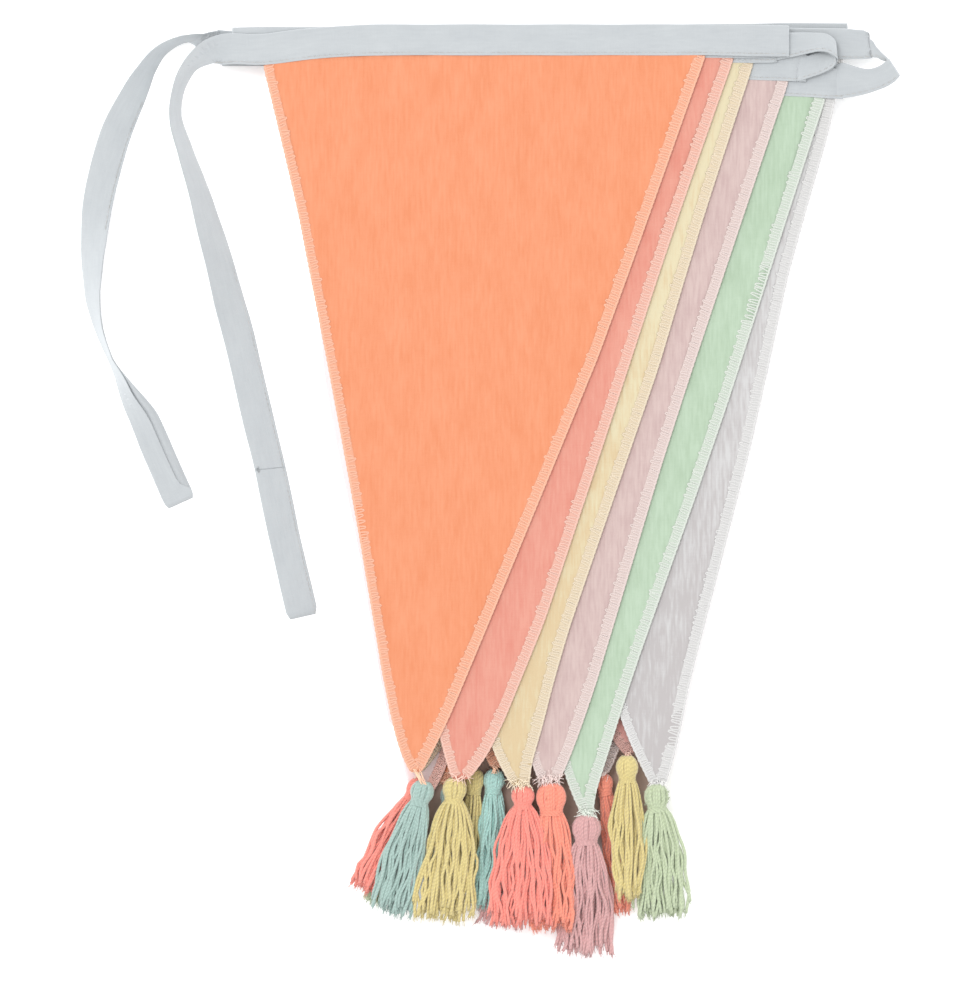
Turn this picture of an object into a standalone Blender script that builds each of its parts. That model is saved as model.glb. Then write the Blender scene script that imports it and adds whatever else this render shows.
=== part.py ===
"""Fabric bunting: fourteen overlocked cotton pennants on one tape, folded pennant on pennant and lying flat.

Units are metres. +Z is up, +Y runs from the tassels to the tape and +X to the right. The first pennant is the
top layer and the last one lies on the surface at z = 0. The tape runs to and fro along the pennants' top edges,
turns over at each end of a run, and leaves a free tie at both of its ends.
"""

import math
from collections import namedtuple

import bmesh
import bpy
from mathutils import Vector

CLOTH = 0.0010  # thickness of every sheet, with room for its seams
GAP = 0.0003  # clearance between neighbouring pieces
LAYER = CLOTH + GAP

PENNANT_WIDTH = 0.213
SHOULDER_WIDTH = 0.0165  # a straight side runs down to here, then turns in to the tip
SHOULDER_RISE = 0.0105
TIP_WIDTH = 0.0030
DROOP_LENGTH = 0.014  # the stretch over which a tip sinks to its tassel
DIP_SHARE = 0.3  # the share of a top edge over which its left corner dips
PENNANT_COLUMNS = 6
ROW_SHARES = (0.0, 0.1, 0.2, 0.3, 0.42, 0.54, 0.66, 0.78, 0.86, 0.92, 0.97, 1.0)

TAPE_WIDTH = 0.015
TAPE_BETWEEN = 0.065  # tape from one pennant's corner to the next pennant's
BEND_STEPS = 6

RIPPLE = 0.0005  # height of the gentle waves in the top layer
RIPPLE_LENGTH = 0.19
RIPPLE_SKEW = 0.35
RIPPLE_TOP = 0.17  # the waves fade out from RIPPLE_FADE below here, and towards RIPPLE_FOOT
RIPPLE_FOOT = -0.12
RIPPLE_FADE = 0.06

TASSEL_SIDES = 10
FLOOR_CLEARANCE = 0.0001
TASSEL_GAP = 0.0005  # between a pennant's tip and its tassel
HEAD_SHARE = 0.08  # the shares of a tassel's length at which its head is thickest, its neck starts
NECK_SHARE = 0.16
FALL_SHARE = 0.60  # and over which its skirt sinks to its end

# Each pennant, from the top layer down: its right-hand top corner, how far its top edge rises to the right in
# degrees, how far its left corner dips, where its tip lies, and how far the tip sinks below the layer.
Pennant = namedtuple("Pennant", "colour corner_x corner_y rise dip tip_x tip_y sink")
PENNANTS = (
    Pennant("orange", 0.1038, 0.2093, 0.0, 0.0046, -0.0357, -0.1367, 0.0016),
    Pennant("coral", 0.1174, 0.2082, 0.0, 0.0, -0.0150, -0.1401, 0.0006),
    Pennant("yellow", 0.1270, 0.2058, -0.5, 0.0, 0.0150, -0.1430, 0.0),
    Pennant("mauve", 0.1439, 0.1971, -2.0, 0.0, 0.0290, -0.1410, 0.0),
    Pennant("green", 0.1618, 0.1889, -3.0, 0.0, 0.0473, -0.1578, 0.0),
    Pennant("grey", 0.1705, 0.2077, -0.3, 0.0, 0.0811, -0.1438, 0.0),
    Pennant("orange", 0.1343, 0.2067, 0.3, 0.0, 0.0024, -0.1350, 0.0032),
    Pennant("coral", 0.1290, 0.2058, 0.5, 0.0, 0.0672, -0.1288, 0.0),
    Pennant("yellow", 0.1415, 0.2105, 0.75, 0.0, -0.0350, -0.1370, 0.0),
    Pennant("mauve", 0.1372, 0.2105, 0.75, 0.0, 0.0551, -0.1382, 0.0),
    Pennant("green", 0.1304, 0.2048, 0.0, 0.0, 0.0121, -0.1420, 0.0),
    Pennant("grey", 0.1034, 0.2048, 0.0, 0.0, -0.0336, -0.1524, 0.0),
    Pennant("orange", 0.1304, 0.2053, 0.0, 0.0, -0.0220, -0.1430, 0.0),
    Pennant("coral", 0.1232, 0.2048, 0.0, 0.0, -0.0090, -0.1338, 0.0),
)
LAST = len(PENNANTS) - 1

# The first six pennants' sides bow and turn in as they lie: their points in plan below the top corners. The
# other pennants' sides are straight.
Sides = namedtuple("Sides", "left right")
BOWED_SIDES = {
    0: Sides(
        left=((-0.0937, 0.1401), (-0.0749, 0.0435), (-0.0618, -0.0290), (-0.0497, -0.1014), (-0.0430, -0.1280),
              (-0.0379, -0.1367)),
        right=((0.0727, 0.1208), (0.0517, 0.0628), (0.0000, -0.0628), (-0.0232, -0.1183), (-0.0335, -0.1367)),
    ),
    1: Sides(
        left=((-0.0232, -0.1236), (-0.0198, -0.1367), (-0.0179, -0.1401)),
        right=((0.0869, 0.1208), (0.0570, 0.0290), (0.0266, -0.0628), (0.0010, -0.1256), (-0.0048, -0.1333),
               (-0.0111, -0.1401)),
    ),
    2: Sides(
        left=((0.0005, -0.1261), (0.0092, -0.1410), (0.0110, -0.1430)),
        right=((0.0995, 0.1208), (0.0826, 0.0628), (0.0333, -0.0811), (0.0266, -0.1101), (0.0198, -0.1323),
               (0.0190, -0.1430)),
    ),
    3: Sides(
        left=((0.0203, -0.1338), (0.0240, -0.1410)),
        right=((0.0879, 0.0290), (0.0488, -0.1014), (0.0386, -0.1294), (0.0330, -0.1410)),
    ),
    4: Sides(
        left=((0.0357, -0.1377), (0.0425, -0.1550), (0.0448, -0.1578)),
        right=((0.1106, 0.0290), (0.0647, -0.1014), (0.0594, -0.1208), (0.0531, -0.1386), (0.0507, -0.1444),
               (0.0498, -0.1578)),
    ),
    5: Sides(
        left=((0.0671, -0.1222), (0.0758, -0.1396), (0.0785, -0.1438)),
        right=((0.1681, 0.1884), (0.1449, 0.1087), (0.1280, 0.0290), (0.0942, -0.1014), (0.0898, -0.1299),
               (0.0860, -0.1362), (0.0840, -0.1438)),
    ),
}

# Each pennant's tassel, in the same order: where its skirt ends, the skirt's width there, and the height of the
# middle of its head and of its skirt's end.
Tassel = namedtuple("Tassel", "yarn end_x end_y end_width head_z end_z head_width")
TASSELS = (
    Tassel("teal", -0.0483, -0.2038, 0.0180, 0.0138, 0.0116, 0.0105),
    Tassel("yellow", -0.0227, -0.2067, 0.0260, 0.0128, 0.0112, 0.0105),
    Tassel("coral", 0.0120, -0.2087, 0.0240, 0.0128, 0.0112, 0.0105),
    Tassel("orange", 0.0350, -0.2106, 0.0120, 0.0128, 0.0112, 0.0120),
    Tassel("lilac", 0.0490, -0.2236, 0.0160, 0.0122, 0.0104, 0.0110),
    Tassel("green", 0.0850, -0.2058, 0.0220, 0.0120, 0.0104, 0.0105),
    Tassel("teal", -0.0048, -0.2000, 0.0120, 0.0044, 0.0034, 0.0100),
    Tassel("yellow", 0.0671, -0.1956, 0.0120, 0.0116, 0.0110, 0.0105),
    Tassel("coral", -0.0650, -0.1893, 0.0100, 0.0070, 0.0034, 0.0100),
    Tassel("orange", 0.0642, -0.2024, 0.0095, 0.0044, 0.0034, 0.0095),
    Tassel("lilac", 0.0080, -0.2130, 0.0150, 0.0044, 0.0034, 0.0100),
    Tassel("green", -0.0556, -0.1988, 0.0085, 0.0044, 0.0034, 0.0085),
    Tassel("teal", -0.0315, -0.2019, 0.0110, 0.0044, 0.0034, 0.0095),
    Tassel("yellow", -0.0165, -0.1980, 0.0090, 0.0044, 0.0034, 0.0088),
)
HEAD_HALF_HEIGHT = 0.0032
END_HALF_HEIGHT = 0.0028

# A tassel's outline: how far along it lies, its half width as a share of the head's and of the skirt's half
# width, and its half height as a share of the head's and of the end's.
Ring = namedtuple("Ring", "along head_share skirt_share head_tall end_tall")
RINGS = (
    Ring(0.000, 0.20, 0.00, 0.30, 0.00),
    Ring(0.030, 0.72, 0.00, 0.76, 0.00),
    Ring(0.080, 1.00, 0.00, 1.00, 0.00),
    Ring(0.130, 0.86, 0.00, 0.88, 0.00),
    Ring(0.165, 0.68, 0.00, 0.74, 0.00),
    Ring(0.250, 0.66, 0.12, 0.80, 0.00),
    Ring(0.450, 0.32, 0.60, 0.50, 0.45),
    Ring(0.720, 0.00, 0.96, 0.15, 0.85),
    Ring(0.930, 0.00, 1.00, 0.00, 1.00),
    Ring(1.000, 0.00, 0.90, 0.00, 0.80),
)

# Where the tape turns over to the right of the third and the fifth pennant, in place of the usual turn.
FREE_TURNS = {2: (0.1671, 0.2125), 4: (0.1951, 0.2024)}

# Shares of a top edge at which the tape has its own points, on a straight edge and on one whose corner dips.
STRAIGHT_SHARES = (0.0, 0.5, 1.0)
DIPPED_SHARES = (0.0, 0.1, 0.2, 0.3, 0.6, 1.0)

# Stretches where the tape leaves its straight runs. Roll turns the tape about its length in degrees, 0 is flat,
# and lift is the height of its lower side above the surface.
Station = namedtuple("Station", "x y lift roll")
LOOP_OUT = (Station(0.1787, 0.1980, 0.0117, 0), Station(0.1889, 0.2000, 0.0117, 0))
LOOP_BACK = (
    Station(0.1893, 0.2085, 0.0068, 28),
    Station(0.1845, 0.2128, 0.0040, 50),
    Station(0.1790, 0.2148, 0.0060, 34),
)
STATIONS_BEFORE = {5: LOOP_BACK}  # by the index of the pennant whose run they lead to or from
STATIONS_AFTER = {4: LOOP_OUT}
FIRST_TIE = (
    Station(-0.0906, -0.0613, 0.0001, 0),
    Station(-0.0997, -0.0222, 0.0001, 0),
    Station(-0.1063, 0.0097, 0.0001, 0),
    Station(-0.1123, 0.0343, 0.0001, 0),
    Station(-0.1210, 0.0720, 0.0001, 4),
    Station(-0.1262, 0.0910, 0.0001, 14),
    Station(-0.1309, 0.1096, 0.0001, 28),
    Station(-0.1362, 0.1280, 0.0001, 39),
    Station(-0.1411, 0.1449, 0.0002, 50),
    Station(-0.1475, 0.1642, 0.0004, 62),
    Station(-0.1520, 0.1797, 0.0012, 69),
    Station(-0.1505, 0.1932, 0.0038, 70),
    Station(-0.1455, 0.2036, 0.0070, 66),
    Station(-0.1372, 0.2102, 0.0112, 46),
    Station(-0.1300, 0.2122, 0.0152, 16),
    Station(-0.1230, 0.2128, 0.0169, 0),
)
LAST_TIE = (
    Station(-0.1290, 0.2150, 0.0001, 0),
    Station(-0.1350, 0.2162, 0.0001, 32),
    Station(-0.1405, 0.2178, 0.0001, 68),
    Station(-0.1459, 0.2183, 0.0002, 80),
    Station(-0.1520, 0.2166, 0.0002, 78),
    Station(-0.1598, 0.2118, 0.0002, 70),
    Station(-0.1664, 0.2029, 0.0001, 58),
    Station(-0.1724, 0.1913, 0.0001, 38),
    Station(-0.1806, 0.1739, 0.0001, 12),
    Station(-0.1867, 0.1536, 0.0001, 0),
    Station(-0.1900, 0.1380, 0.0001, -12),
    Station(-0.1913, 0.1251, 0.0001, -28),
    Station(-0.1923, 0.1111, 0.0001, -43),
    Station(-0.1922, 0.1014, 0.0001, -52),
    Station(-0.1919, 0.0918, 0.0001, -60),
    Station(-0.1889, 0.0773, 0.0001, -74),
    Station(-0.1833, 0.0628, 0.0001, -80),
    Station(-0.1793, 0.0555, 0.0001, -72),
    Station(-0.1755, 0.0483, 0.0001, -58),
    Station(-0.1713, 0.0411, 0.0001, -40),
    Station(-0.1672, 0.0338, 0.0001, -25),
    Station(-0.1611, 0.0193, 0.0001, -8),
    Station(-0.1547, 0.0048, 0.0001, 0),
    Station(-0.1497, -0.0063, 0.0001, 0),
)

COLOURS = {
    "orange": (0.95, 0.40, 0.21),
    "coral": (0.90, 0.37, 0.28),
    "yellow": (0.83, 0.70, 0.42),
    "mauve": (0.74, 0.55, 0.54),
    "green": (0.55, 0.72, 0.54),
    "grey": (0.70, 0.69, 0.70),
    "tape": (0.64, 0.69, 0.72),
    "teal yarn": (0.36, 0.62, 0.58),
    "yellow yarn": (0.66, 0.57, 0.25),
    "coral yarn": (0.90, 0.26, 0.22),
    "orange yarn": (0.90, 0.28, 0.17),
    "lilac yarn": (0.60, 0.42, 0.45),
    "green yarn": (0.45, 0.60, 0.38),
}
CLOTH_ROUGHNESS = 0.85


def clear_scene():
    for obj in list(bpy.data.objects):
        bpy.data.objects.remove(obj, do_unlink=True)


def make_material(name):
    material = bpy.data.materials.new(name)
    material.use_nodes = True
    shader = material.node_tree.nodes["Principled BSDF"]
    shader.inputs["Base Color"].default_value = (*COLOURS[name], 1.0)
    shader.inputs["Roughness"].default_value = CLOTH_ROUGHNESS
    shader.inputs["Metallic"].default_value = 0.0
    return material


def add_object(name, bm, material, collection):
    mesh = bpy.data.meshes.new(name)
    bm.to_mesh(mesh)
    bm.free()
    mesh.materials.append(material)
    mesh.shade_smooth()
    obj = bpy.data.objects.new(name, mesh)
    collection.objects.link(obj)
    return obj


def thicken(obj):
    """Gives a sheet its thickness, half to each side."""
    solidify = obj.modifiers.new("Thickness", "SOLIDIFY")
    solidify.thickness = CLOTH
    solidify.offset = 0.0
    solidify.use_even_offset = False


def smooth(t):
    t = min(max(t, 0.0), 1.0)
    return t * t * (3 - 2 * t)


def layer_height(index):
    return CLOTH / 2 + LAYER * (LAST - index)


def ripple(x, y, z):
    """The waves of the cloth, which fade to nothing at the tape, at the tips and in the lowest layer."""
    fade = smooth((RIPPLE_TOP - y) / RIPPLE_FADE) * smooth((y - RIPPLE_FOOT) / RIPPLE_FADE)
    turn = 2 * math.pi / RIPPLE_LENGTH
    wave = math.sin(turn * (x + RIPPLE_SKEW * y)) + 0.5 * math.sin(turn * y)
    return RIPPLE * fade * wave * (z - CLOTH / 2) / layer_height(0)


def edge_direction(pennant):
    turn = math.radians(pennant.rise)
    return Vector((math.cos(turn), math.sin(turn)))


def top_edge(pennant, along):
    """A point on the pennant's top edge: 0 is its left corner and 1 its right one, and it goes on past both."""
    corner = Vector((pennant.corner_x, pennant.corner_y))
    point = corner - edge_direction(pennant) * PENNANT_WIDTH * (1 - along)
    point.y -= pennant.dip * max(0.0, 1 - max(along, 0.0) / DIP_SHARE) ** 2
    return point


def sides(index, pennant):
    """The points of the pennant's left and right side in plan, from its top corner to its tip."""
    if index in BOWED_SIDES:
        left, right = ([Vector(point) for point in side] for side in BOWED_SIDES[index])
    else:
        tip = Vector((pennant.tip_x, pennant.tip_y))
        down = (tip - top_edge(pennant, 0.5)).normalized()
        across = Vector((-down.y, down.x))
        shoulder = tip - down * SHOULDER_RISE
        left = [shoulder - across * SHOULDER_WIDTH / 2, tip - across * TIP_WIDTH / 2]
        right = [shoulder + across * SHOULDER_WIDTH / 2, tip + across * TIP_WIDTH / 2]
    return [top_edge(pennant, 0.0)] + left, [top_edge(pennant, 1.0)] + right


def side_place(points, share):
    """The place on a side at that share of its drop."""
    y = points[0].y + (points[-1].y - points[0].y) * share
    for above, below in zip(points, points[1:]):
        if y >= below.y:
            return above.lerp(below, (above.y - y) / (above.y - below.y))
    return points[-1]


def pennant_place(pennant, left, right, share, across):
    """A point of the pennant in plan: share is 0 at its top edge and 1 at its tip, and across runs left to right."""
    if share == 0.0:
        return top_edge(pennant, across)
    return side_place(left, share).lerp(side_place(right, share), across)


def build_pennant(index, pennant, material, collection):
    rows = len(ROW_SHARES) - 1
    left, right = sides(index, pennant)
    drop = left[0].y - left[-1].y
    base = layer_height(index)
    bm = bmesh.new()
    bmesh.ops.create_grid(bm, x_segments=PENNANT_COLUMNS, y_segments=rows, size=1.0)
    for vertex in bm.verts:
        across = (vertex.co.x + 1) / 2
        share = ROW_SHARES[round((1 - vertex.co.y) / 2 * rows)]
        place = pennant_place(pennant, left, right, share, across)
        sink = pennant.sink * smooth(1 - (1 - share) * drop / DROOP_LENGTH)
        vertex.co = (place.x, place.y, base + ripple(place.x, place.y, base) - sink)
    bmesh.ops.recalc_face_normals(bm, faces=bm.faces)
    obj = add_object(f"pennant_{index + 1:02d}_{pennant.colour}", bm, material, collection)
    thicken(obj)


def build_tassel(index, pennant, tassel, material, collection):
    """One closed body from the pennant's tip to the cut ends of the skirt, flattened as it lies."""
    tip = Vector((pennant.tip_x, pennant.tip_y))
    end = Vector((tassel.end_x, tassel.end_y))
    axis = (end - tip).normalized()
    side = Vector((-axis.y, axis.x))
    start = tip + axis * TASSEL_GAP
    length = (end - start).length
    tip_z = layer_height(index) - pennant.sink
    bm = bmesh.new()
    rings = []
    for ring in RINGS:
        head = smooth(ring.along / HEAD_SHARE)
        fall = smooth((ring.along - NECK_SHARE) / FALL_SHARE)
        z = tip_z + (tassel.head_z - tip_z) * head + (tassel.end_z - tassel.head_z) * fall
        half_width = ring.head_share * tassel.head_width / 2 + ring.skirt_share * tassel.end_width / 2
        half_height = ring.head_tall * HEAD_HALF_HEIGHT + ring.end_tall * END_HALF_HEIGHT
        z = max(z, half_height + FLOOR_CLEARANCE)
        centre = start + axis * length * ring.along
        points = []
        for corner in range(TASSEL_SIDES):
            angle = 2 * math.pi * (corner + 0.5) / TASSEL_SIDES
            place = centre + side * half_width * math.cos(angle)
            points.append(bm.verts.new((place.x, place.y, z + half_height * math.sin(angle))))
        rings.append(points)
    for first, second in zip(rings, rings[1:]):
        for corner in range(TASSEL_SIDES):
            after = (corner + 1) % TASSEL_SIDES
            bm.faces.new((first[corner], first[after], second[after], second[corner]))
    bm.faces.new(rings[0])
    bm.faces.new(rings[-1])
    bmesh.ops.recalc_face_normals(bm, faces=bm.faces)
    add_object(f"tassel_{index + 1:02d}_{tassel.yarn}", bm, material, collection)


def tape_place(index, along):
    """The middle of the tape over the pennant's top edge."""
    pennant = PENNANTS[index]
    direction = edge_direction(pennant)
    up = Vector((-direction.y, direction.x))
    place = top_edge(pennant, along) + up * (GAP + TAPE_WIDTH / 2)
    return Vector((place.x, place.y, layer_height(index)))


def turn_place(index):
    """Where the tape turns over between the pennant of this index and the next, in plan."""
    if index in FREE_TURNS:
        return Vector(FREE_TURNS[index])
    along = 1.0 if index % 2 == 0 else 0.0
    outward = TAPE_BETWEEN / 2 if index % 2 == 0 else -TAPE_BETWEEN / 2
    between = (tape_place(index, along) + tape_place(index + 1, along)) / 2
    return Vector((between.x + outward, between.y))


def station_points(stations):
    """The tape's middle at each station, as (point, roll in radians)."""
    found = []
    for station in stations:
        roll = math.radians(station.roll)
        rise = TAPE_WIDTH / 2 * abs(math.sin(roll)) + CLOTH / 2 * abs(math.cos(roll))
        found.append((Vector((station.x, station.y, station.lift + rise)), roll))
    return found


def run_points(index):
    """The tape's middle from one turn to the next, as (point, roll), in the order in which the tape is laid."""
    points = []
    if index > 0:
        turn = turn_place(index - 1)
        points.append((Vector((turn.x, turn.y, layer_height(index))), 0.0))
    points += station_points(STATIONS_BEFORE.get(index, ()))
    shares = DIPPED_SHARES if PENNANTS[index].dip else STRAIGHT_SHARES
    if index % 2:
        shares = shares[::-1]
    points += [(tape_place(index, share), 0.0) for share in shares]
    points += station_points(STATIONS_AFTER.get(index, ()))
    if index < LAST:
        turn = turn_place(index)
        points.append((Vector((turn.x, turn.y, layer_height(index))), 0.0))
    return points


def frames(points, hand):
    """(point, width direction) along a stretch. Hand is 1 where the tape's top edge is to the left of its way."""
    found = []
    for i, (point, roll) in enumerate(points):
        before, after = points[max(i - 1, 0)][0], points[min(i + 1, len(points) - 1)][0]
        way = (after - before).normalized()
        left = Vector((-way.y, way.x, 0.0)).normalized()
        up = way.cross(left).normalized()
        found.append((point, left * hand * math.cos(roll) + up * math.sin(roll)))
    return found


def bend(first, second):
    """The points and width directions of the turn between two runs, around a short level axis."""
    (top, top_width), (_, low_width) = first[-1], second[0]
    low = second[0][0]
    width = (top_width + low_width).normalized()
    outward = width.cross(Vector((0, 0, 1)))
    if outward.dot(top - first[-2][0]) < 0:
        outward = -outward
    found = []
    for step in range(1, BEND_STEPS):
        angle = math.pi * step / BEND_STEPS
        place = top.lerp(low, (1 - math.cos(angle)) / 2) + outward * LAYER / 2 * math.sin(angle)
        found.append((place, width))
    return found


def build_tape(material, collection):
    runs = []
    for index in range(len(PENNANTS)):
        points = run_points(index)
        if index == 0:
            points = station_points(FIRST_TIE) + points
        if index == LAST:
            points += station_points(LAST_TIE)
        runs.append(frames(points, 1 if index % 2 == 0 else -1))
    route = list(runs[0])
    for first, second in zip(runs, runs[1:]):
        route += bend(first, second) + second
    bm = bmesh.new()
    pairs = []
    for place, width in route:
        pairs.append([bm.verts.new(place + width * TAPE_WIDTH / 2 * end) for end in (1, -1)])
    for (a, b), (c, d) in zip(pairs, pairs[1:]):
        bm.faces.new((a, b, d, c))
    obj = add_object("tape", bm, material, collection)
    thicken(obj)


def main():
    clear_scene()
    collection = bpy.data.collections.new("fabric_bunting")
    bpy.context.scene.collection.children.link(collection)
    materials = {name: make_material(name) for name in COLOURS}
    build_tape(materials["tape"], collection)
    for index, (pennant, tassel) in enumerate(zip(PENNANTS, TASSELS)):
        build_pennant(index, pennant, materials[pennant.colour], collection)
        build_tassel(index, pennant, tassel, materials[tassel.yarn + " yarn"], collection)


main()
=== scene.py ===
"""Looks of the folded cotton bunting: woven pennants, overlocked edges, a folded binding and yarn tassels.

Units are metres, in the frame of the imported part. Each pennant is draped on its own solid. Each tassel lies
where its row says in plan, at the heights of its solid. The binding repeats the route of the tape's solid.
"""

import math
import random
from collections import namedtuple

import bpy
import numpy as np
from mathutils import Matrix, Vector
from mathutils.bvhtree import BVHTree


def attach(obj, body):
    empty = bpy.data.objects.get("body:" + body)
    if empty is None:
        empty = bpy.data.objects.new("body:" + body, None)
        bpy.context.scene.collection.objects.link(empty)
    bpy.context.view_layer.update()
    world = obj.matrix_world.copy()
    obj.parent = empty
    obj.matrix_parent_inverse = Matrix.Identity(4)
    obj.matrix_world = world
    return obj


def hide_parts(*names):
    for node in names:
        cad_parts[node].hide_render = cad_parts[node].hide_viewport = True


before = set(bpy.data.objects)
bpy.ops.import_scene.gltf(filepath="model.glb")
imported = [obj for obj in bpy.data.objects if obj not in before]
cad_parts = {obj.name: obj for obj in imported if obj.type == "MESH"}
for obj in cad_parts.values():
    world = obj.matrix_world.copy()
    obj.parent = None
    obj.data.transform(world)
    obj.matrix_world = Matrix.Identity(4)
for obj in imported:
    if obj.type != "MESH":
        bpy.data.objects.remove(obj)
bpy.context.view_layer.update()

# ------------------------------------------------------------------ sizes

CLOTH_SOLID = 0.0010  # thickness of a sheet in the frame
LAYER = 0.0013  # from one pennant of the stack to the next
CLOTH = 0.00045
EDGE_INSET = 0.0005  # from a side's outline in to the cut edge of the cloth
TUCK = 0.0045  # how far a pennant goes up into the binding
CLOTH_WAVE = 0.00016  # height of the unevenness of a lying pennant

THREAD = 0.00034  # half width of an overlock thread
STITCH_PITCH = 0.0027
STITCH_DEPTH_RIGHT = 0.0055
STITCH_DEPTH_LEFT = 0.0046
SIDE_STEP = STITCH_PITCH / 12  # between the places at which a pennant's side is sampled
HEIGHT_INSET = 0.0004  # the sheet's height is read at least this far in from a side

TAPE_WIDTH = 0.015
LEAF = 0.00024  # thickness of one leaf of the binding
RUN_GAPE = 0.00026  # half the space between the leaves where they hold a pennant
TIE_GAPE = 0.00006
EDGE_STITCH = 0.0027  # from one stitch of the binding to the next

YARN = 0.00074  # half width of a tassel's strand

COLOURS = ("orange", "coral", "yellow", "mauve", "green", "grey")
YARNS = ("teal", "yellow", "coral", "orange", "lilac", "green")
COUNT = 14
LAST = COUNT - 1
SEEN = 6  # pennants whose faces show from above


def clamp(value, low=0.0, high=1.0):
    return min(max(value, low), high)


def smooth(t):
    t = clamp(t)
    return t * t * (3 - 2 * t)


def pennant_name(index):
    return f"pennant_{index + 1:02d}_{COLOURS[index % len(COLOURS)]}"


def tassel_name(index):
    return f"tassel_{index + 1:02d}_{YARNS[index % len(YARNS)]}"


# ------------------------------------------------------------------ mesh tools


def far_along(line):
    """How far along a line of points each of them is."""
    return np.concatenate([[0.0], np.cumsum(np.linalg.norm(np.diff(line, axis=0), axis=1))])


def quads(rows, columns, closed=False):
    """The faces of a grid of points. In a closed one, each row's last point joins its first."""
    i, j = np.meshgrid(np.arange(rows - 1), np.arange(columns if closed else columns - 1), indexing="ij")
    after = (j + 1) % columns
    near, next_row = i * columns, (i + 1) * columns
    return np.stack([near + j, next_row + j, next_row + after, near + after], axis=-1)


class Surface:
    """Gathers points, faces and each face corner's surface coordinates for one piece."""

    def __init__(self):
        self.points = []
        self.faces = []
        self.coordinates = []
        self.first = 0
        self.total = 0

    def add(self, points, faces, coordinates):
        """New points, with faces over them."""
        self.points.append(np.asarray(points, float))
        self.first = self.total
        self.total += len(points)
        self.cover(faces, coordinates)

    def cover(self, faces, coordinates):
        """Faces over the points that were added last, and one pair of coordinates for each corner of each."""
        self.faces.append(np.asarray(faces) + self.first)
        self.coordinates.append(np.asarray(coordinates, float).reshape(-1, 2))

    def sweep(self, line, radius, sides, wide=1.0, flat=1.0, start=0.0):
        """A capped tube along a line. Wide and flat scale it across its way and up from it."""
        line = np.asarray(line, float)
        radius = np.broadcast_to(np.asarray(radius, float), len(line))
        way = np.gradient(line, axis=0)
        way /= np.linalg.norm(way, axis=1)[:, None] + 1e-12
        side = np.cross(way, (0.0, 0.0, 1.0))
        side[np.linalg.norm(side, axis=1) < 1e-3] = (1.0, 0.0, 0.0)
        side /= np.linalg.norm(side, axis=1)[:, None]
        up = np.cross(side, way)
        turn = np.arange(sides) * 2 * math.pi / sides
        across = side[:, None, :] * (np.cos(turn) * wide)[None, :, None]
        above = up[:, None, :] * (np.sin(turn) * flat)[None, :, None]
        points = (line[:, None, :] + (across + above) * radius[:, None, None]).reshape(-1, 3)
        far = far_along(line) + start
        faces = quads(len(line), sides, closed=True)[..., [0, 3, 2, 1]]
        around = np.broadcast_to((np.arange(sides)[:, None] + np.array((0, 1, 1, 0))) / sides, faces.shape)
        coordinates = np.stack([around, far[faces // sides]], axis=-1)
        self.add(np.concatenate([points, line[[0, -1]]]), faces.reshape(-1, 4), coordinates)
        ring, tail = np.arange(sides), (len(line) - 1) * sides
        after = (ring + 1) % sides
        start_cap = np.stack([np.full(sides, len(points)), after, ring], axis=-1)
        end_cap = np.stack([np.full(sides, len(points) + 1), tail + ring, tail + after], axis=-1)
        for fan, height in ((start_cap, far[0]), (end_cap, far[-1])):
            self.cover(fan, np.tile((0.5, height), (fan.size, 1)))

    def piece(self, name, material, slot):
        """The gathered surface as one object of the bunting."""
        mesh = bpy.data.meshes.new(name)
        points = np.concatenate(self.points)
        corners = np.concatenate([faces.ravel() for faces in self.faces]).astype(np.int32)
        lengths = np.concatenate([np.full(len(faces), faces.shape[1]) for faces in self.faces])
        mesh.vertices.add(len(points))
        mesh.vertices.foreach_set("co", points.astype(np.float32).ravel())
        mesh.loops.add(len(corners))
        mesh.loops.foreach_set("vertex_index", corners)
        mesh.polygons.add(len(lengths))
        starts = np.concatenate([[0], np.cumsum(lengths)[:-1]]).astype(np.int32)
        mesh.polygons.foreach_set("loop_start", starts)
        layer = mesh.uv_layers.new(name="surface")
        layer.data.foreach_set("uv", np.concatenate(self.coordinates).astype(np.float32).ravel())
        mesh.update(calc_edges=True)
        mesh.validate()
        mesh.shade_smooth()
        mesh.materials.append(material)
        obj = bpy.data.objects.new(name, mesh)
        bpy.context.scene.collection.objects.link(obj)
        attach(obj, "root")
        return obj


# ------------------------------------------------------------------ materials


EXPOSURE = 1.55  # how much brighter the studio's light brings out a flat surface's own colour


def linear(red, green, blue):
    """A colour given as a screen shows it, from 0 to 255, as the shaders' linear one."""
    return tuple(((c / 255 + 0.055) / 1.055) ** 2.4 for c in (red, green, blue))


def lit(red, green, blue):
    """The linear colour of a flat surface that the studio's light brings out as this one."""
    return tuple(c / EXPOSURE for c in linear(red, green, blue))


def new_material(name, colour, roughness, sheen):
    material = bpy.data.materials.new(name)
    material.use_nodes = True
    tree = material.node_tree
    shader = tree.nodes["Principled BSDF"]
    shader.inputs["Roughness"].default_value = roughness
    shader.inputs["Specular IOR Level"].default_value = 0.18
    shader.inputs["Sheen Weight"].default_value = sheen
    shader.inputs["Sheen Roughness"].default_value = 0.6
    shader.inputs["Base Color"].default_value = (*colour, 1.0)
    return material, tree, shader


def node(tree, kind, inputs=None, **settings):
    made = tree.nodes.new(kind)
    for key, value in settings.items():
        setattr(made, key, value)
    for key, value in (inputs or {}).items():
        if hasattr(value, "is_output"):
            tree.links.new(value, made.inputs[key])
        else:
            made.inputs[key].default_value = value
    return made


def maths(tree, operation, first, second=0.0):
    return node(tree, "ShaderNodeMath", {0: first, 1: second}, operation=operation).outputs[0]


def plus(tree, total, *values):
    for value in values:
        total = maths(tree, "ADD", total, value)
    return total


def minus(tree, first, second):
    return maths(tree, "SUBTRACT", first, second)


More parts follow.
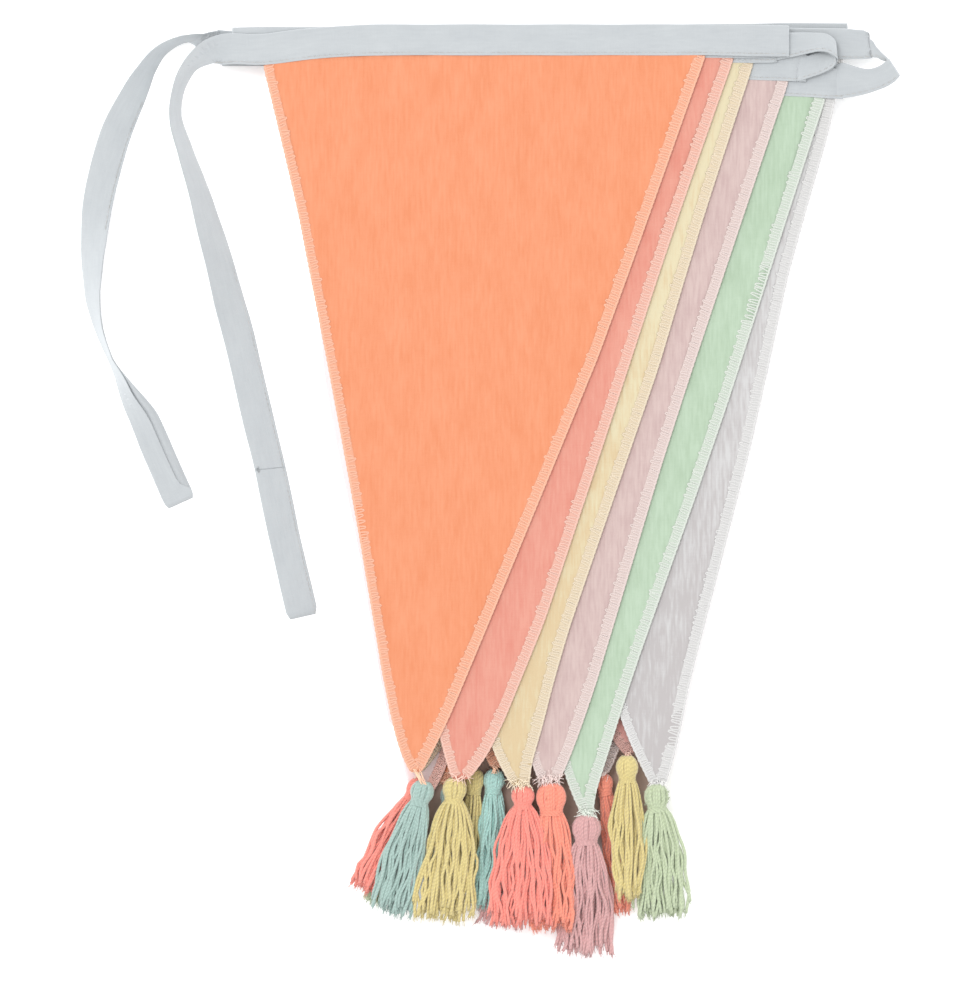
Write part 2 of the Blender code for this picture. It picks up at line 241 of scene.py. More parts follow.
def times(tree, first, second):
    return maths(tree, "MULTIPLY", first, second)


def surface_axes(tree):
    """The piece's own coordinates, across and along its cloth or thread, as X and Y."""
    place = node(tree, "ShaderNodeUVMap", uv_map="surface").outputs["UV"]
    return node(tree, "ShaderNodeSeparateXYZ", {"Vector": place}).outputs


def surface_coordinates(tree, stretch):
    """The piece's own coordinates, scaled across and along."""
    place = node(tree, "ShaderNodeUVMap", uv_map="surface").outputs["UV"]
    return node(tree, "ShaderNodeMapping", {"Vector": place, "Scale": (*stretch, 1.0)}).outputs["Vector"]


def noise(tree, vector, scale, detail=2.0, roughness=0.5):
    inputs = {"Vector": vector, "Scale": scale, "Detail": detail, "Roughness": roughness}
    return node(tree, "ShaderNodeTexNoise", inputs).outputs["Fac"]


def two_tone(tree, factor, low, high, first=0.30, last=0.70):
    """The low colour where factor is first or less, the high one where it is last or more, mixed between."""
    ramp = node(tree, "ShaderNodeValToRGB", {"Fac": factor})
    ramp.color_ramp.elements[0].position = first
    ramp.color_ramp.elements[1].position = last
    ramp.color_ramp.elements[0].color = (*low, 1.0)
    ramp.color_ramp.elements[1].color = (*high, 1.0)
    return ramp.outputs["Color"]


def shaded_colour(tree, colour, factor, dark, light):
    """The colour, darker where factor is low and lighter where it is high."""
    low = tuple(c * dark for c in colour)
    high = tuple(min(c * light, 1.0) for c in colour)
    return two_tone(tree, factor, low, high)


def add_relief(tree, shader, height, distance, strength):
    bump = node(tree, "ShaderNodeBump", {"Height": height, "Distance": distance, "Strength": strength})
    tree.links.new(bump.outputs["Normal"], shader.inputs["Normal"])


# How finely each part of a look runs across and along its cloth or thread, in cells to the metre.
WARP = (2600.0, 150.0)
WEFT = (140.0, 2500.0)
SLUBS = (760.0, 85.0)
PATCHES = (95.0, 42.0)
HAIRS = (9.0, 2600.0)
FALL_MIDDLE = 0.03  # the height at which a pennant has its plain colour
FALL_REACH = 0.18  # from there to its tip


def woven(name, cloth, slub=0.5, mottle=0.5, lift=0.0):
    """Plain-woven cotton: two crossing sets of uneven threads, some of them thicker, and a soft mottle.

    lift paints steep stretches paler: painted light on faces that stand up from the floor, which the studio's
    light leaves darker.
    """
    material, tree, shader = new_material(name, cloth.light, 0.88, 0.10)
    warp = noise(tree, surface_coordinates(tree, WARP), 1.0)
    weft = noise(tree, surface_coordinates(tree, WEFT), 1.0)
    slubs = noise(tree, surface_coordinates(tree, SLUBS), 1.0, 3.0)
    patches = noise(tree, surface_coordinates(tree, PATCHES), 1.0, 4.0, 0.6)
    threads = minus(tree, plus(tree, warp, weft), 1.0)
    streaks = times(tree, minus(tree, slubs, 0.5), slub)
    clouds = times(tree, minus(tree, patches, 0.5), mottle)
    fall = times(tree, minus(tree, surface_axes(tree)["Y"], FALL_MIDDLE), cloth.fall / FALL_REACH)
    tone = plus(tree, streaks, clouds, times(tree, threads, 0.30), fall, 0.55)
    colour = two_tone(tree, tone, cloth.deep, cloth.light, 0.25, 0.80)
    # Painted light: the steeper the face, the paler its colour.
    if lift:
        normal = node(tree, "ShaderNodeNewGeometry").outputs["Normal"]
        level = maths(tree, "ABSOLUTE", node(tree, "ShaderNodeSeparateXYZ", {"Vector": normal}).outputs["Z"])
        gain = plus(tree, 1.0 + lift, times(tree, level, -lift))
        colour = node(tree, "ShaderNodeVectorMath", {0: colour, "Scale": gain}, operation="SCALE").outputs[0]
    tree.links.new(colour, shader.inputs["Base Color"])
    add_relief(tree, shader, plus(tree, threads, times(tree, streaks, 1.5)), 0.00020, 0.45)
    return material


# How a twisted thread looks: how long a turn is, how dark its grooves and how light its ridges are, its
# sheen, how strongly its fuzz shows, and how much its grooves show in tone and in relief.
Twist = namedtuple("Twist", "pitch dark light sheen fuzz groove relief", defaults=(0.25, 0.5, 0.22, 0.6))
OVERLOCK_TWIST = Twist(0.0011, 0.95, 1.04, sheen=0.2, groove=0.2, relief=0.25)
OWN_OVERLOCK_TWIST = Twist(0.0011, 0.95, 1.04)
WEB_TWIST = Twist(0.0011, 0.96, 1.03)
LOOSE_TWIST = Twist(0.0011, 0.95, 1.03, sheen=0.4, groove=0.2, relief=0.1)
YARN_TWIST = Twist(0.0019, 0.84, 1.10, sheen=0.35, fuzz=0.7, groove=0.13, relief=0.42)
EDGE_STITCH_TWIST = Twist(0.0008, 0.90, 1.05, sheen=0.15)
SEAM_TWIST = Twist(0.0008, 0.85, 1.05, sheen=0.1)
PLIES = 2


def spun(name, colour, twist):
    """Twisted thread or yarn: plies that wind round it, darker grooves between them and a little fuzz."""
    material, tree, shader = new_material(name, colour, 0.9, twist.sheen)
    axes = surface_axes(tree)
    turns = plus(tree, times(tree, axes["X"], PLIES), times(tree, axes["Y"], 1.0 / twist.pitch))
    ply = maths(tree, "SINE", times(tree, turns, 2 * math.pi))
    hairs = noise(tree, surface_coordinates(tree, HAIRS), 1.0, 3.0)
    tone = plus(tree, times(tree, ply, twist.groove), 0.5 - twist.fuzz * 0.5, times(tree, hairs, twist.fuzz))
    tree.links.new(shaded_colour(tree, colour, tone, twist.dark, twist.light), shader.inputs["Base Color"])
    add_relief(tree, shader, plus(tree, ply, times(tree, hairs, 0.8)), 0.00012, twist.relief)
    return material


# Each cloth's colour in its hollows and on its high threads, and how much deeper it gets towards the tip.
Cloth = namedtuple("Cloth", "deep light fall")
CLOTH_COLOURS = {
    "orange": Cloth(lit(250, 157, 113), lit(257, 170, 129), 0.0),
    "coral": Cloth(lit(240, 155, 137), lit(248, 174, 155), 0.0),
    "yellow": Cloth(lit(237, 213, 171), lit(244, 232, 195), 0.40),
    "mauve": Cloth(lit(217, 189, 186), lit(231, 206, 201), 0.0),
    "green": Cloth(lit(190, 213, 186), lit(206, 228, 203), -0.05),
    "grey": Cloth(lit(208, 203, 203), lit(229, 228, 228), 0.40),
}
# Two pennants of the lower stack show a colour of their own: the eighth, beside the green tip, and the
# twelfth, whose edge shows left of the orange one. The twelfth's cloth is a pale pinkish lilac, painted
# brighter than a lit cloth would show, as painted light against the shade it lies in under the stack. Its
# threads carry painted reflection: the warm light that the orange and coral pennants throw into that shade.
OWN_AND_PAINTED_LIGHT_CLOTHS = {
    7: Cloth(lit(219, 150, 141), lit(230, 176, 168), 0.0),
    11: Cloth(linear(243, 222, 224), linear(250, 236, 238), 0.0),
}
OWN_AND_PAINTED_REFLECTION_THREADS = {7: lit(230, 180, 170), 11: linear(250, 206, 196)}
SLUBBY = ("mauve", "yellow", "grey")
THREAD_COLOURS = {
    "orange": lit(268, 203, 172),
    "coral": lit(261, 212, 195),
    "yellow": lit(252, 235, 208),
    "mauve": lit(249, 230, 225),
    "green": lit(237, 244, 234),
    "grey": lit(244, 243, 242),
}
WEB_COLOURS = {
    "orange": lit(259, 187, 154),
    "coral": lit(254, 196, 177),
    "yellow": lit(245, 226, 195),
    "mauve": lit(241, 220, 214),
    "green": lit(223, 235, 220),
    "grey": lit(236, 235, 234),
}
# Painted light: loose threads take their sewn thread's colour made this much lighter, against the shade they
# cast on one another.
LOOSE_THREAD_PAINTED_LIGHT_GAIN = 1.55  # a single thread in the open is lighter than those sewn down
LIGHTEST = 0.95  # but no lighter than this
YARN_COLOURS = {
    "teal": linear(154, 178, 171),
    "yellow": linear(202, 186, 127),
    "coral": linear(229, 136, 123),
    "orange": linear(229, 140, 118),
    "lilac": linear(199, 154, 153),
    "green": linear(180, 192, 161),
}
# The seventh tassel's yarn is also painted lighter than the first one's, as painted light against the shade
# it lies in under the others.
OWN_AND_PAINTED_LIGHT_YARNS = {6: linear(162, 200, 193)}  # the seventh tassel's teal, bluer than the first one's
TAPE_COLOURS = Cloth(lit(202, 207, 211), lit(214, 219, 222), 0.0)
TAPE_THREAD_COLOUR = lit(234, 234, 232)
SEAM_COLOUR = lit(207, 213, 217)


# ------------------------------------------------------------------ places of the tassels

# How each tassel lies, in the order of the pennants: its head's middle, half width and half length, its
# end's middle and half width, how far it bellies out half way down and bows sideways, how uneven its cut
# ends are and how much higher its end lies than the solid's.
Lie = namedtuple("Lie", "head_x head_y head_half head_long end_x end_y end_half belly bow ragged rise")
LIES = (
    Lie(-0.0328, -0.1459, 0.0056, 0.0051, -0.0478, -0.2014, 0.0101, 0.16, -0.0004, 0.045, 0.0000),
    Lie(-0.0171, -0.1447, 0.0057, 0.0053, -0.0229, -0.2048, 0.0142, 0.08, 0.0004, 0.035, 0.0012),
    Lie(0.0159, -0.1478, 0.0055, 0.0046, 0.0152, -0.2072, 0.0155, 0.08, 0.0000, 0.045, 0.0042),
    Lie(0.0295, -0.1488, 0.0072, 0.0070, 0.0302, -0.2096, 0.0114, 0.14, 0.0004, 0.045, 0.0000),
    Lie(0.0466, -0.1637, 0.0070, 0.0063, 0.0456, -0.2217, 0.0133, 0.06, 0.0006, 0.055, -0.0036),
    Lie(0.0804, -0.1483, 0.0058, 0.0058, 0.0831, -0.2038, 0.0140, 0.06, 0.0006, 0.045, -0.0010),
    Lie(0.0019, -0.1406, 0.0052, 0.0048, -0.0029, -0.1985, 0.0060, 0.50, 0.0014, 0.040, 0.0030),
    Lie(0.0662, -0.1343, 0.0053, 0.0056, 0.0667, -0.1946, 0.0060, 0.80, 0.0000, 0.045, 0.0032),
    Lie(-0.0357, -0.1444, 0.0046, 0.0048, -0.0604, -0.1913, 0.0072, 0.15, -0.0012, 0.030, 0.0040),
    Lie(0.0551, -0.1420, 0.0045, 0.0041, 0.0638, -0.2014, 0.0053, 0.15, 0.0006, 0.040, 0.0000),
    Lie(0.0159, -0.1517, 0.0041, 0.0043, 0.0048, -0.2087, 0.0126, -0.45, 0.0000, 0.045, 0.0000),
    Lie(-0.0372, -0.1584, 0.0039, 0.0043, -0.0565, -0.1975, 0.0058, 0.00, 0.0000, 0.040, 0.0000),
    Lie(-0.0198, -0.1478, 0.0041, 0.0043, -0.0280, -0.1990, 0.0060, 0.00, 0.0000, 0.050, 0.0000),
    Lie(-0.0075, -0.1406, 0.0046, 0.0051, -0.0106, -0.1980, 0.0068, 0.02, 0.0000, 0.050, 0.0000),
)

# ------------------------------------------------------------------ pennants


def frame_mesh(name):
    """The points, edges and search tree of a solid of the frame."""
    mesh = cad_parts[name].data
    points = np.array([v.co for v in mesh.vertices], float)
    edges = np.array([e.vertices for e in mesh.edges])
    tree = BVHTree.FromPolygons([tuple(p) for p in points], [tuple(p.vertices) for p in mesh.polygons])
    return points, edges, tree


def outline_at(points, edges, y):
    """The lowest and highest x at which the solid's edges cross this y."""
    first, second = points[edges[:, 0]], points[edges[:, 1]]
    crossing = (first[:, 1] - y) * (second[:, 1] - y) <= 0
    first, second = first[crossing], second[crossing]
    drop = second[:, 1] - first[:, 1]
    share = np.where(np.abs(drop) > 1e-9, (y - first[:, 1]) / np.where(drop == 0, 1, drop), 0.5)
    x = first[:, 0] + (second[:, 0] - first[:, 0]) * share
    return x.min(), x.max()


def softened(values, passes):
    """The same run of values with its corners rounded, and its ends kept."""
    values = np.array(values, float)
    for _ in range(passes):
        values[1:-1] = (values[:-2] + 2 * values[1:-1] + values[2:]) / 4
    return values


# The twelfth pennant shows beside the first one's left side: by how much, at heights from the tip to the top.
STRIP_HEIGHTS = (-0.1150, -0.1014, -0.0290, 0.0048, 0.0290, 0.0531, 0.0820, 0.1100)
STRIP_WIDTHS = (0.0024, 0.0021, 0.0022, 0.0032, 0.0038, 0.0034, 0.0008, -0.0010)
STRIP_PENNANT = 11
UNDERLAP = 0.0012  # how far the others' left sides stay inside the first pennant's
UNDERLAP_END = -0.1000  # below this height each pennant's own outline counts


class Shape:
    """A pennant's outline, as read from its solid: its left and right side from the top corners to the tip.

    First is the first pennant's outline, or None for that pennant itself.
    """

    def __init__(self, name, rows, index, first):
        points, edges, self.tree = frame_mesh(name)
        left_corner = points[np.argmin(points[:, 0] - 0.5 * points[:, 1])]
        right_corner = points[np.argmax(points[:, 0] + 0.5 * points[:, 1])]
        bottom = points[:, 1].min()
        self.share = np.linspace(0, 1, rows + 1) ** 0.9
        self.left, self.right = [], []
        for share in self.share:
            inside = clamp(share, 0.002, 0.998)
            left_y = left_corner[1] + (bottom - left_corner[1]) * inside
            right_y = right_corner[1] + (bottom - right_corner[1]) * inside
            self.left.append((outline_at(points, edges, left_y)[0], left_y))
            self.right.append((outline_at(points, edges, right_y)[1], right_y))
        self.left = np.array(self.left)
        self.right = np.array(self.right)
        self.left[0] = left_corner[:2]
        self.right[0] = right_corner[:2]
        for side in (self.left, self.right):
            side[:, 0] = softened(side[:, 0], max(2, rows // 24))
        if first is None:
            return
        for row, (x, y) in enumerate(self.left):
            edge = np.interp(-y, -first.left[:, 1], first.left[:, 0])
            if index == STRIP_PENNANT and y > STRIP_HEIGHTS[0]:
                self.left[row, 0] = edge - np.interp(y, STRIP_HEIGHTS, STRIP_WIDTHS)
            elif y > UNDERLAP_END:
                self.left[row, 0] = max(x, edge + UNDERLAP)

    def height(self, x, y):
        """The middle of the solid's sheet over this place, or over the nearest place that it covers."""
        hit = self.tree.ray_cast(Vector((x, y, 1.0)), Vector((0, 0, -1)))[0]
        if hit is None:
            near = self.tree.find_nearest(Vector((x, y, 0.01)))[0]
            return near.z
        return hit.z - CLOTH_SOLID / 2


def unevenness(x, y, seed):
    """A slow unevenness of lying cloth, between -1 and 1."""
    value = math.sin(61 * x + 23 * y + seed) + math.sin(-37 * x + 48 * y + 2.1 * seed)
    return (value + math.sin(92 * x - 71 * y + 0.7 * seed)) / 3


WEAVE_SHIFT = 0.31  # so that no two pennants show the same stretch of the weave


def pennant_cloth(index, name, shape, columns, material):
    """The woven triangle, with its cut sides just inside the overlock and its top tucked into the binding."""
    rows = len(shape.share) - 1
    top = shape.right[0] - shape.left[0]
    up = np.array((-top[1], top[0])) / np.linalg.norm(top)
    grid, place = [], []
    for level in range(-1, rows + 1):
        row = max(level, 0)
        left, right = shape.left[row], shape.right[row]
        for column in range(columns + 1):
            across = column / columns
            inset = EDGE_INSET * (1 - 2 * across) if row else 0.0
            point = left + (right - left) * across + np.array((inset, 0.0))
            z = shape.height(*(point if row else point - up * 0.0003))
            fade = smooth(row / 6) * smooth((rows - row) / 8)
            z += CLOTH_WAVE * fade * unevenness(point[0], point[1], index)
            if level < 0:
                point = point + up * TUCK
            grid.append((point[0], point[1], z))
            place.append((point[0] + index * WEAVE_SHIFT, point[1]))
    faces = quads(rows + 2, columns + 1).reshape(-1, 4)
    surface = Surface()
    surface.add(grid, faces, np.array(place)[faces])
    cloth = surface.piece(f"{name}_cloth", material, f"cloth_{COLOURS[index % len(COLOURS)]}")
    thickness = cloth.modifiers.new("Thickness", "SOLIDIFY")
    thickness.thickness = CLOTH
    thickness.offset = 0.0
    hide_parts(name)
    return cloth


SideLine = namedtuple("SideLine", "places inward length other")


def side_line(shape, side):
    """Places along a side at equal steps, the direction in from it at each, its length and the other side."""
    points, other = (shape.left, shape.right) if side < 0 else (shape.right, shape.left)
    far = far_along(points)
    steps = np.arange(0, far[-1], SIDE_STEP)
    places = np.stack([np.interp(steps, far, points[:, 0]), np.interp(steps, far, points[:, 1])], axis=1)
    way = np.gradient(places, axis=0)
    way[:, 0] = softened(way[:, 0], 6)
    way[:, 1] = softened(way[:, 1], 6)
    way /= np.linalg.norm(way, axis=1)[:, None]
    inward = np.stack([way[:, 1], -way[:, 0]], axis=1) * side
    return SideLine(places, inward, steps[-1], other)


def width_at(line, k):
    """How wide the pennant is at a place of its side."""
    x, y = line.places[k]
    return abs(np.interp(-y, -line.other[:, 1], line.other[:, 0]) - x)


# One stitch of the overlock's upper thread, as shares of the pitch along the side and the depth in from it.
# It leaves the edge, runs in, rounds the needle thread and comes back.
Bend = namedtuple("Bend", "along depth height")
LOOPER = (
    Bend(0.02, 0.02, 0.0),
    Bend(0.06, 0.35, 0.6),
    Bend(0.10, 0.74, 0.8),
    Bend(0.20, 0.96, 0.5),
    Bend(0.36, 1.00, 0.3),
    Bend(0.50, 0.90, 0.5),
    Bend(0.56, 0.60, 0.9),
    Bend(0.60, 0.28, 0.7),
    Bend(0.70, 0.08, 0.2),
    Bend(0.86, 0.03, 0.1),
)


LEAN = 0.28  # how far a stitch leans along its side at most, as a share of its pitch
JITTER = 0.02
DEPTHS = (0.80, 1.10)  # the least and the greatest depth of a stitch, as shares of its side's
SWING = 0.00010  # of the corded edge, from side to side


def under_threads(web, shape, line, depth):
    """The flat web of threads that lies between the loops along one side."""
    points = []
    for k in range(0, len(line.places), 6):
        place, inward = line.places[k], line.inward[k]
        deep = min(depth * 0.90, 0.5 * width_at(line, k) + 0.0004)
        for share in (0.0, 0.5, 1.0):
            spot = place + inward * (0.0002 + deep * share)
            z = shape.height(*(place + inward * max(deep * share, HEIGHT_INSET)))
            points.append((spot[0], spot[1], z + CLOTH / 2 + 0.00013))
    faces = quads(len(points) // 3, 3).reshape(-1, 4)[:, [0, 3, 2, 1]]
    if line.inward[0][0] < 0:
        faces = faces[:, ::-1]
    web.add(points, faces, np.tile((0.375, 0.0), (faces.size, 1)))


def stitched_side(shape, line, depth, thread, detail, rng):
    """The looped thread over one cut side, and the corded edge that it makes, as two lists of points."""
    count = round(line.length / STITCH_PITCH)
    pitch = line.length / count
    looped, corded = [], []

    def nearest(along):
        return int(clamp(along / SIDE_STEP, 0, len(line.places) - 1))

    for stitch in range(count):
        lean = rng.uniform(-LEAN, LEAN)
        deep = depth * rng.uniform(*DEPTHS)
        deep = min(deep, 0.62 * width_at(line, nearest((stitch + 0.5) * pitch)) + 0.0006)
        for bend in LOOPER[::detail]:
            k = nearest((stitch + bend.along + lean * bend.depth + rng.uniform(-JITTER, JITTER)) * pitch)
            spot = line.places[k] + line.inward[k] * (bend.depth * deep)
            z = shape.height(*(line.places[k] + line.inward[k] * max(bend.depth * deep, HEIGHT_INSET)))
            z += CLOTH / 2 + thread * (0.30 + 0.26 * bend.height)
            looped.append((spot[0], spot[1], z))
        for part in range(3):
            k = nearest((stitch + part / 3) * pitch)
            swing = math.sin(2 * math.pi * part / 3) * SWING
            spot = line.places[k] + line.inward[k] * (0.0005 + swing)
            z = shape.height(*(line.places[k] + line.inward[k] * HEIGHT_INSET)) + swing
            corded.append((spot[0], spot[1], z + 0.00018))
    return looped, corded


def overlock(index, name, shape, material, web_material, detail):
    """The threads over both cut sides and the web below them. A detail of 2 leaves out every other bend."""
    surface, web = Surface(), Surface()
    rng = random.Random(40 + index)
    fine = detail == 1
    thread = THREAD * (1.0 if fine else 1.15)
    for side, depth in ((-1, STITCH_DEPTH_LEFT), (1, STITCH_DEPTH_RIGHT)):
        if side < 0 and index == STRIP_PENNANT:
            continue
        line = side_line(shape, side)
        under_threads(web, shape, line, depth)
        looped, corded = stitched_side(shape, line, depth, thread, detail, rng)
        surface.sweep(looped, thread, 5 if fine else 4, wide=1.2, flat=0.36)
        surface.sweep(corded, thread * 1.75, 6 if fine else 4, flat=0.5)
    threads = surface.piece(f"{name}_overlock", material, "stitching")
    return threads, web.piece(f"{name}_overlock_web", web_material, "stitching")


FRAY = (3, 10, 48, 60, 80, 70)  # loose threads at a tip that shows, in the order of the colours
HIDDEN_FRAY = 6
TAILS = 6  # threads that tie a tip to its tassel


def tassel_line(lie):
    """Where a tassel's head starts in plan, which way it lies and how long it is."""
    head, end = np.array((lie.head_x, lie.head_y)), np.array((lie.end_x, lie.end_y))
    reach = np.linalg.norm(end - head)
    axis = (end - head) / reach
    return head - axis * lie.head_long, axis, float(reach) + lie.head_long


def frayed_tip(index, name, shape, material, count):
    """Loose threads that stand out past the pennant's end, and the tails that tie it to its tassel's head."""
    surface, rng = Surface(), random.Random(340 + index)
    head, _, _ = tassel_line(LIES[index])
    left, right = shape.left[-1], shape.right[-1]
    for _ in range(count):
        root = left + (right - left) * rng.uniform(-0.05, 1.05) + np.array((0.0, rng.uniform(0.0, 0.0035)))
        z = shape.height(root[0], root[1]) + CLOTH + 0.0006
        turn = rng.gauss(0, 0.8)
        reach = rng.uniform(0.0016, 0.0050)
        end = root + np.array((math.sin(turn), -math.cos(turn))) * reach
        middle = (root + end) / 2 + np.array((rng.uniform(-0.0006, 0.0006), 0.0))
        lift = rng.uniform(0.0006, 0.0018)
        surface.sweep([(*root, z), (*middle, z + lift), (*end, z + 0.5 * lift)], 0.00012, 4)
    for _ in range(TAILS):
        root = left + (right - left) * rng.uniform(0.1, 0.9) + np.array((0.0, 0.0016))
        z = shape.height(root[0], root[1])
        end = head + np.array((rng.uniform(-0.0016, 0.0016), -0.0012))
        middle = (root + end) / 2
        surface.sweep([(*root, z + 0.0004), (*middle, z + 0.0009), (*end, z + 0.0012)], 0.00022, 5)
    return surface.piece(f"{name}_frayed_tip", material, "stitching")


def colour_materials(colour):
    """One colour's cloth, the threads of its overlock, their web, and its loose threads."""
    # The loose threads' colour is painted lighter than the sewn threads': painted light.
    pale = tuple(min(c * LOOSE_THREAD_PAINTED_LIGHT_GAIN, LIGHTEST) for c in THREAD_COLOURS[colour])
    return (
        woven(f"woven_cotton_{colour}", CLOTH_COLOURS[colour], 1.5 if colour in SLUBBY else 1.0, 1.0),
        spun(f"overlock_thread_{colour}", THREAD_COLOURS[colour], OVERLOCK_TWIST),
        spun(f"overlock_web_{colour}", WEB_COLOURS[colour], WEB_TWIST),
        spun(f"loose_thread_{colour}", pale, LOOSE_TWIST),
    )


def build_pennant(index, materials, first):
    """One pennant with its stitching and its frayed tip. It gives back the pennant's outline."""
    cloth_material, thread_material, web_material, loose_material = materials
    # For the twelfth pennant these are painted light on its cloth and painted warm reflection on its threads.
    if index in OWN_AND_PAINTED_LIGHT_CLOTHS:
        cloth_material = woven(f"woven_cotton_own_and_painted_light_{index + 1:02d}", OWN_AND_PAINTED_LIGHT_CLOTHS[index])
        # The twelfth pennant's threads are painted warm: painted reflection from the pennants beside them.
        thread_material = spun(f"overlock_thread_own_{index + 1:02d}", OWN_AND_PAINTED_REFLECTION_THREADS[index], OWN_OVERLOCK_TWIST)
        web_material = thread_material
    name = pennant_name(index)
    seen = index < SEEN
    shape = Shape(name, 96 if seen or index == STRIP_PENNANT else 48, index, first)
    columns = 44 if index == 0 else 24 if seen else 14
    cloth = pennant_cloth(index, name, shape, columns, cloth_material)
    threads, web = overlock(index, name, shape, thread_material, web_material, 1 if seen else 2)
    frays = FRAY[index % len(COLOURS)] if seen else HIDDEN_FRAY
    frayed = frayed_tip(index, name, shape, loose_material, frays)
    return shape


def build_pennants():
    materials, first = {}, None
    for index in range(COUNT):
        colour = COLOURS[index % len(COLOURS)]
        if colour not in materials:
            materials[colour] = colour_materials(colour)
        shape = build_pennant(index, materials[colour], first)
        first = first or shape


# ------------------------------------------------------------------ tassels


NECK_SHARE = 0.76  # of the head's half width
NECK_HALF_HEIGHT = 0.0027
SKIRT_HALF_HEIGHT = 0.0030
HEAD_REACH = 0.009  # a tassel's points that are nearer than this to its pennant's tip are its head's

Place = namedtuple("Place", "start axis side length head_length head_half neck_half end_half head_z end_z")


def tassel_place(index):
    """Where a tassel lies in plan, as its row says, and how high its ends are, as read from its solid."""
    points, _, _ = frame_mesh(tassel_name(index))
    pennant, _, _ = frame_mesh(pennant_name(index))
    tip = pennant[pennant[:, 1] < pennant[:, 1].min() + 0.0003].mean(axis=0)
    far = np.linalg.norm(points[:, :2] - tip[:2], axis=1)
    head, end = points[far < HEAD_REACH], points[far > far.max() - 0.0022]
    lie = LIES[index]
    start, axis, length = tassel_line(lie)
    return Place(
        start=start,
        axis=axis,
        side=np.array((-axis[1], axis[0])),
        length=length,
        head_length=2 * lie.head_long,
        head_half=lie.head_half,
        neck_half=lie.head_half * NECK_SHARE,
        end_half=lie.end_half,
        head_z=(head[:, 2].max() + head[:, 2].min()) / 2,
        end_z=end[:, 2].mean(),
    )


GOLDEN_ANGLE = 2.39996


def disc(count, rng):
    """Places spread evenly over a disc of radius 1, a little jittered."""
    found = []
    for i in range(count):
        reach = math.sqrt((i + 0.5) / count) * rng.uniform(0.95, 1.02)
        turn = i * GOLDEN_ANGLE + rng.uniform(-0.2, 0.2)
        found.append((reach * math.cos(turn), reach * math.sin(turn)))
    return found


def skirt_strand(place, lie, a, b, rng, samples):
    """One strand from the neck to its cut end. A and b are its place in the skirt's section."""
    start = place.head_length * 0.92
    reach = (place.length - start) * (1 + clamp(rng.gauss(0, lie.ragged), -0.12, 0.05))
    neck, half = place.neck_half * 0.9 - YARN * 0.5, place.end_half - YARN
    phase, second = rng.uniform(0, 2 * math.pi), rng.uniform(0, 2 * math.pi)
    waves, sway = rng.uniform(1.0, 3.2), rng.uniform(0.0004, 0.0014)
    a_end = clamp(a + rng.gauss(0, 0.16), -1.04, 1.04)
    line = []
    for t in np.linspace(0, 1, samples):
        fan = 0.42 * (1 - math.exp(-t * 9)) + 0.58 * (1 - (1 - t) ** 1.7)
        width = neck + (half - neck) * fan
        width *= 1 + lie.belly * math.sin(math.pi * t ** 0.8)
        shape = a + (a_end - a) * t
        across = shape * width + sway * math.sin(2 * math.pi * waves * t + phase) * smooth(t * 2)
        across += lie.bow * math.sin(math.pi * t) + 0.3 * sway * math.sin(9 * t + second)
        tall = NECK_HALF_HEIGHT * 0.85 + (SKIRT_HALF_HEIGHT - YARN - NECK_HALF_HEIGHT * 0.85) * fan
        z = place.head_z + (place.end_z + lie.rise - place.head_z) * smooth(t * 1.25)
        z += b * tall * math.sqrt(max(0.05, 1 - 0.55 * shape * shape)) / 0.9
        z += 0.0003 * math.sin(2 * math.pi * waves * t + second)
        spot = place.start + place.axis * (start + reach * t) + place.side * across
        line.append((spot[0], spot[1], max(z, YARN + 0.0002)))
    return line


def frayed_end(surface, line, rng, hairs):
    """Fine fibres that stand out of a strand's cut end."""
    end = np.array(line[-1])
    way = end - np.array(line[-3])
    way /= np.linalg.norm(way)
    for _ in range(hairs):
        spread = np.array([rng.gauss(0, 0.55), rng.gauss(0, 0.55), rng.gauss(0, 0.35)])
        root = end - way * 0.0010 + spread * YARN * 0.5
        tip = end + (way + spread * 0.6) * rng.uniform(0.0008, 0.0022)
        tip[2] = max(tip[2], 0.0003)
        root[2] = max(root[2], 0.0003)
        surface.sweep([root, (root + tip) / 2 + spread * 0.0001, tip], 0.00013, 3)


def head_radius(t):
    """A head's half width down its length, as a share of its greatest, from its top to the neck."""
    return math.sqrt(max(0.0, 1 - ((t - 0.47) / 0.53) ** 2))


HEAD_CORE = np.linspace(0.06, 1.0, 9)  # the places of the filling's rings down the head
NECK_TURNS = 3.5
NECK_BINDING = 0.0022  # how much of the tassel's length the turns round the neck take


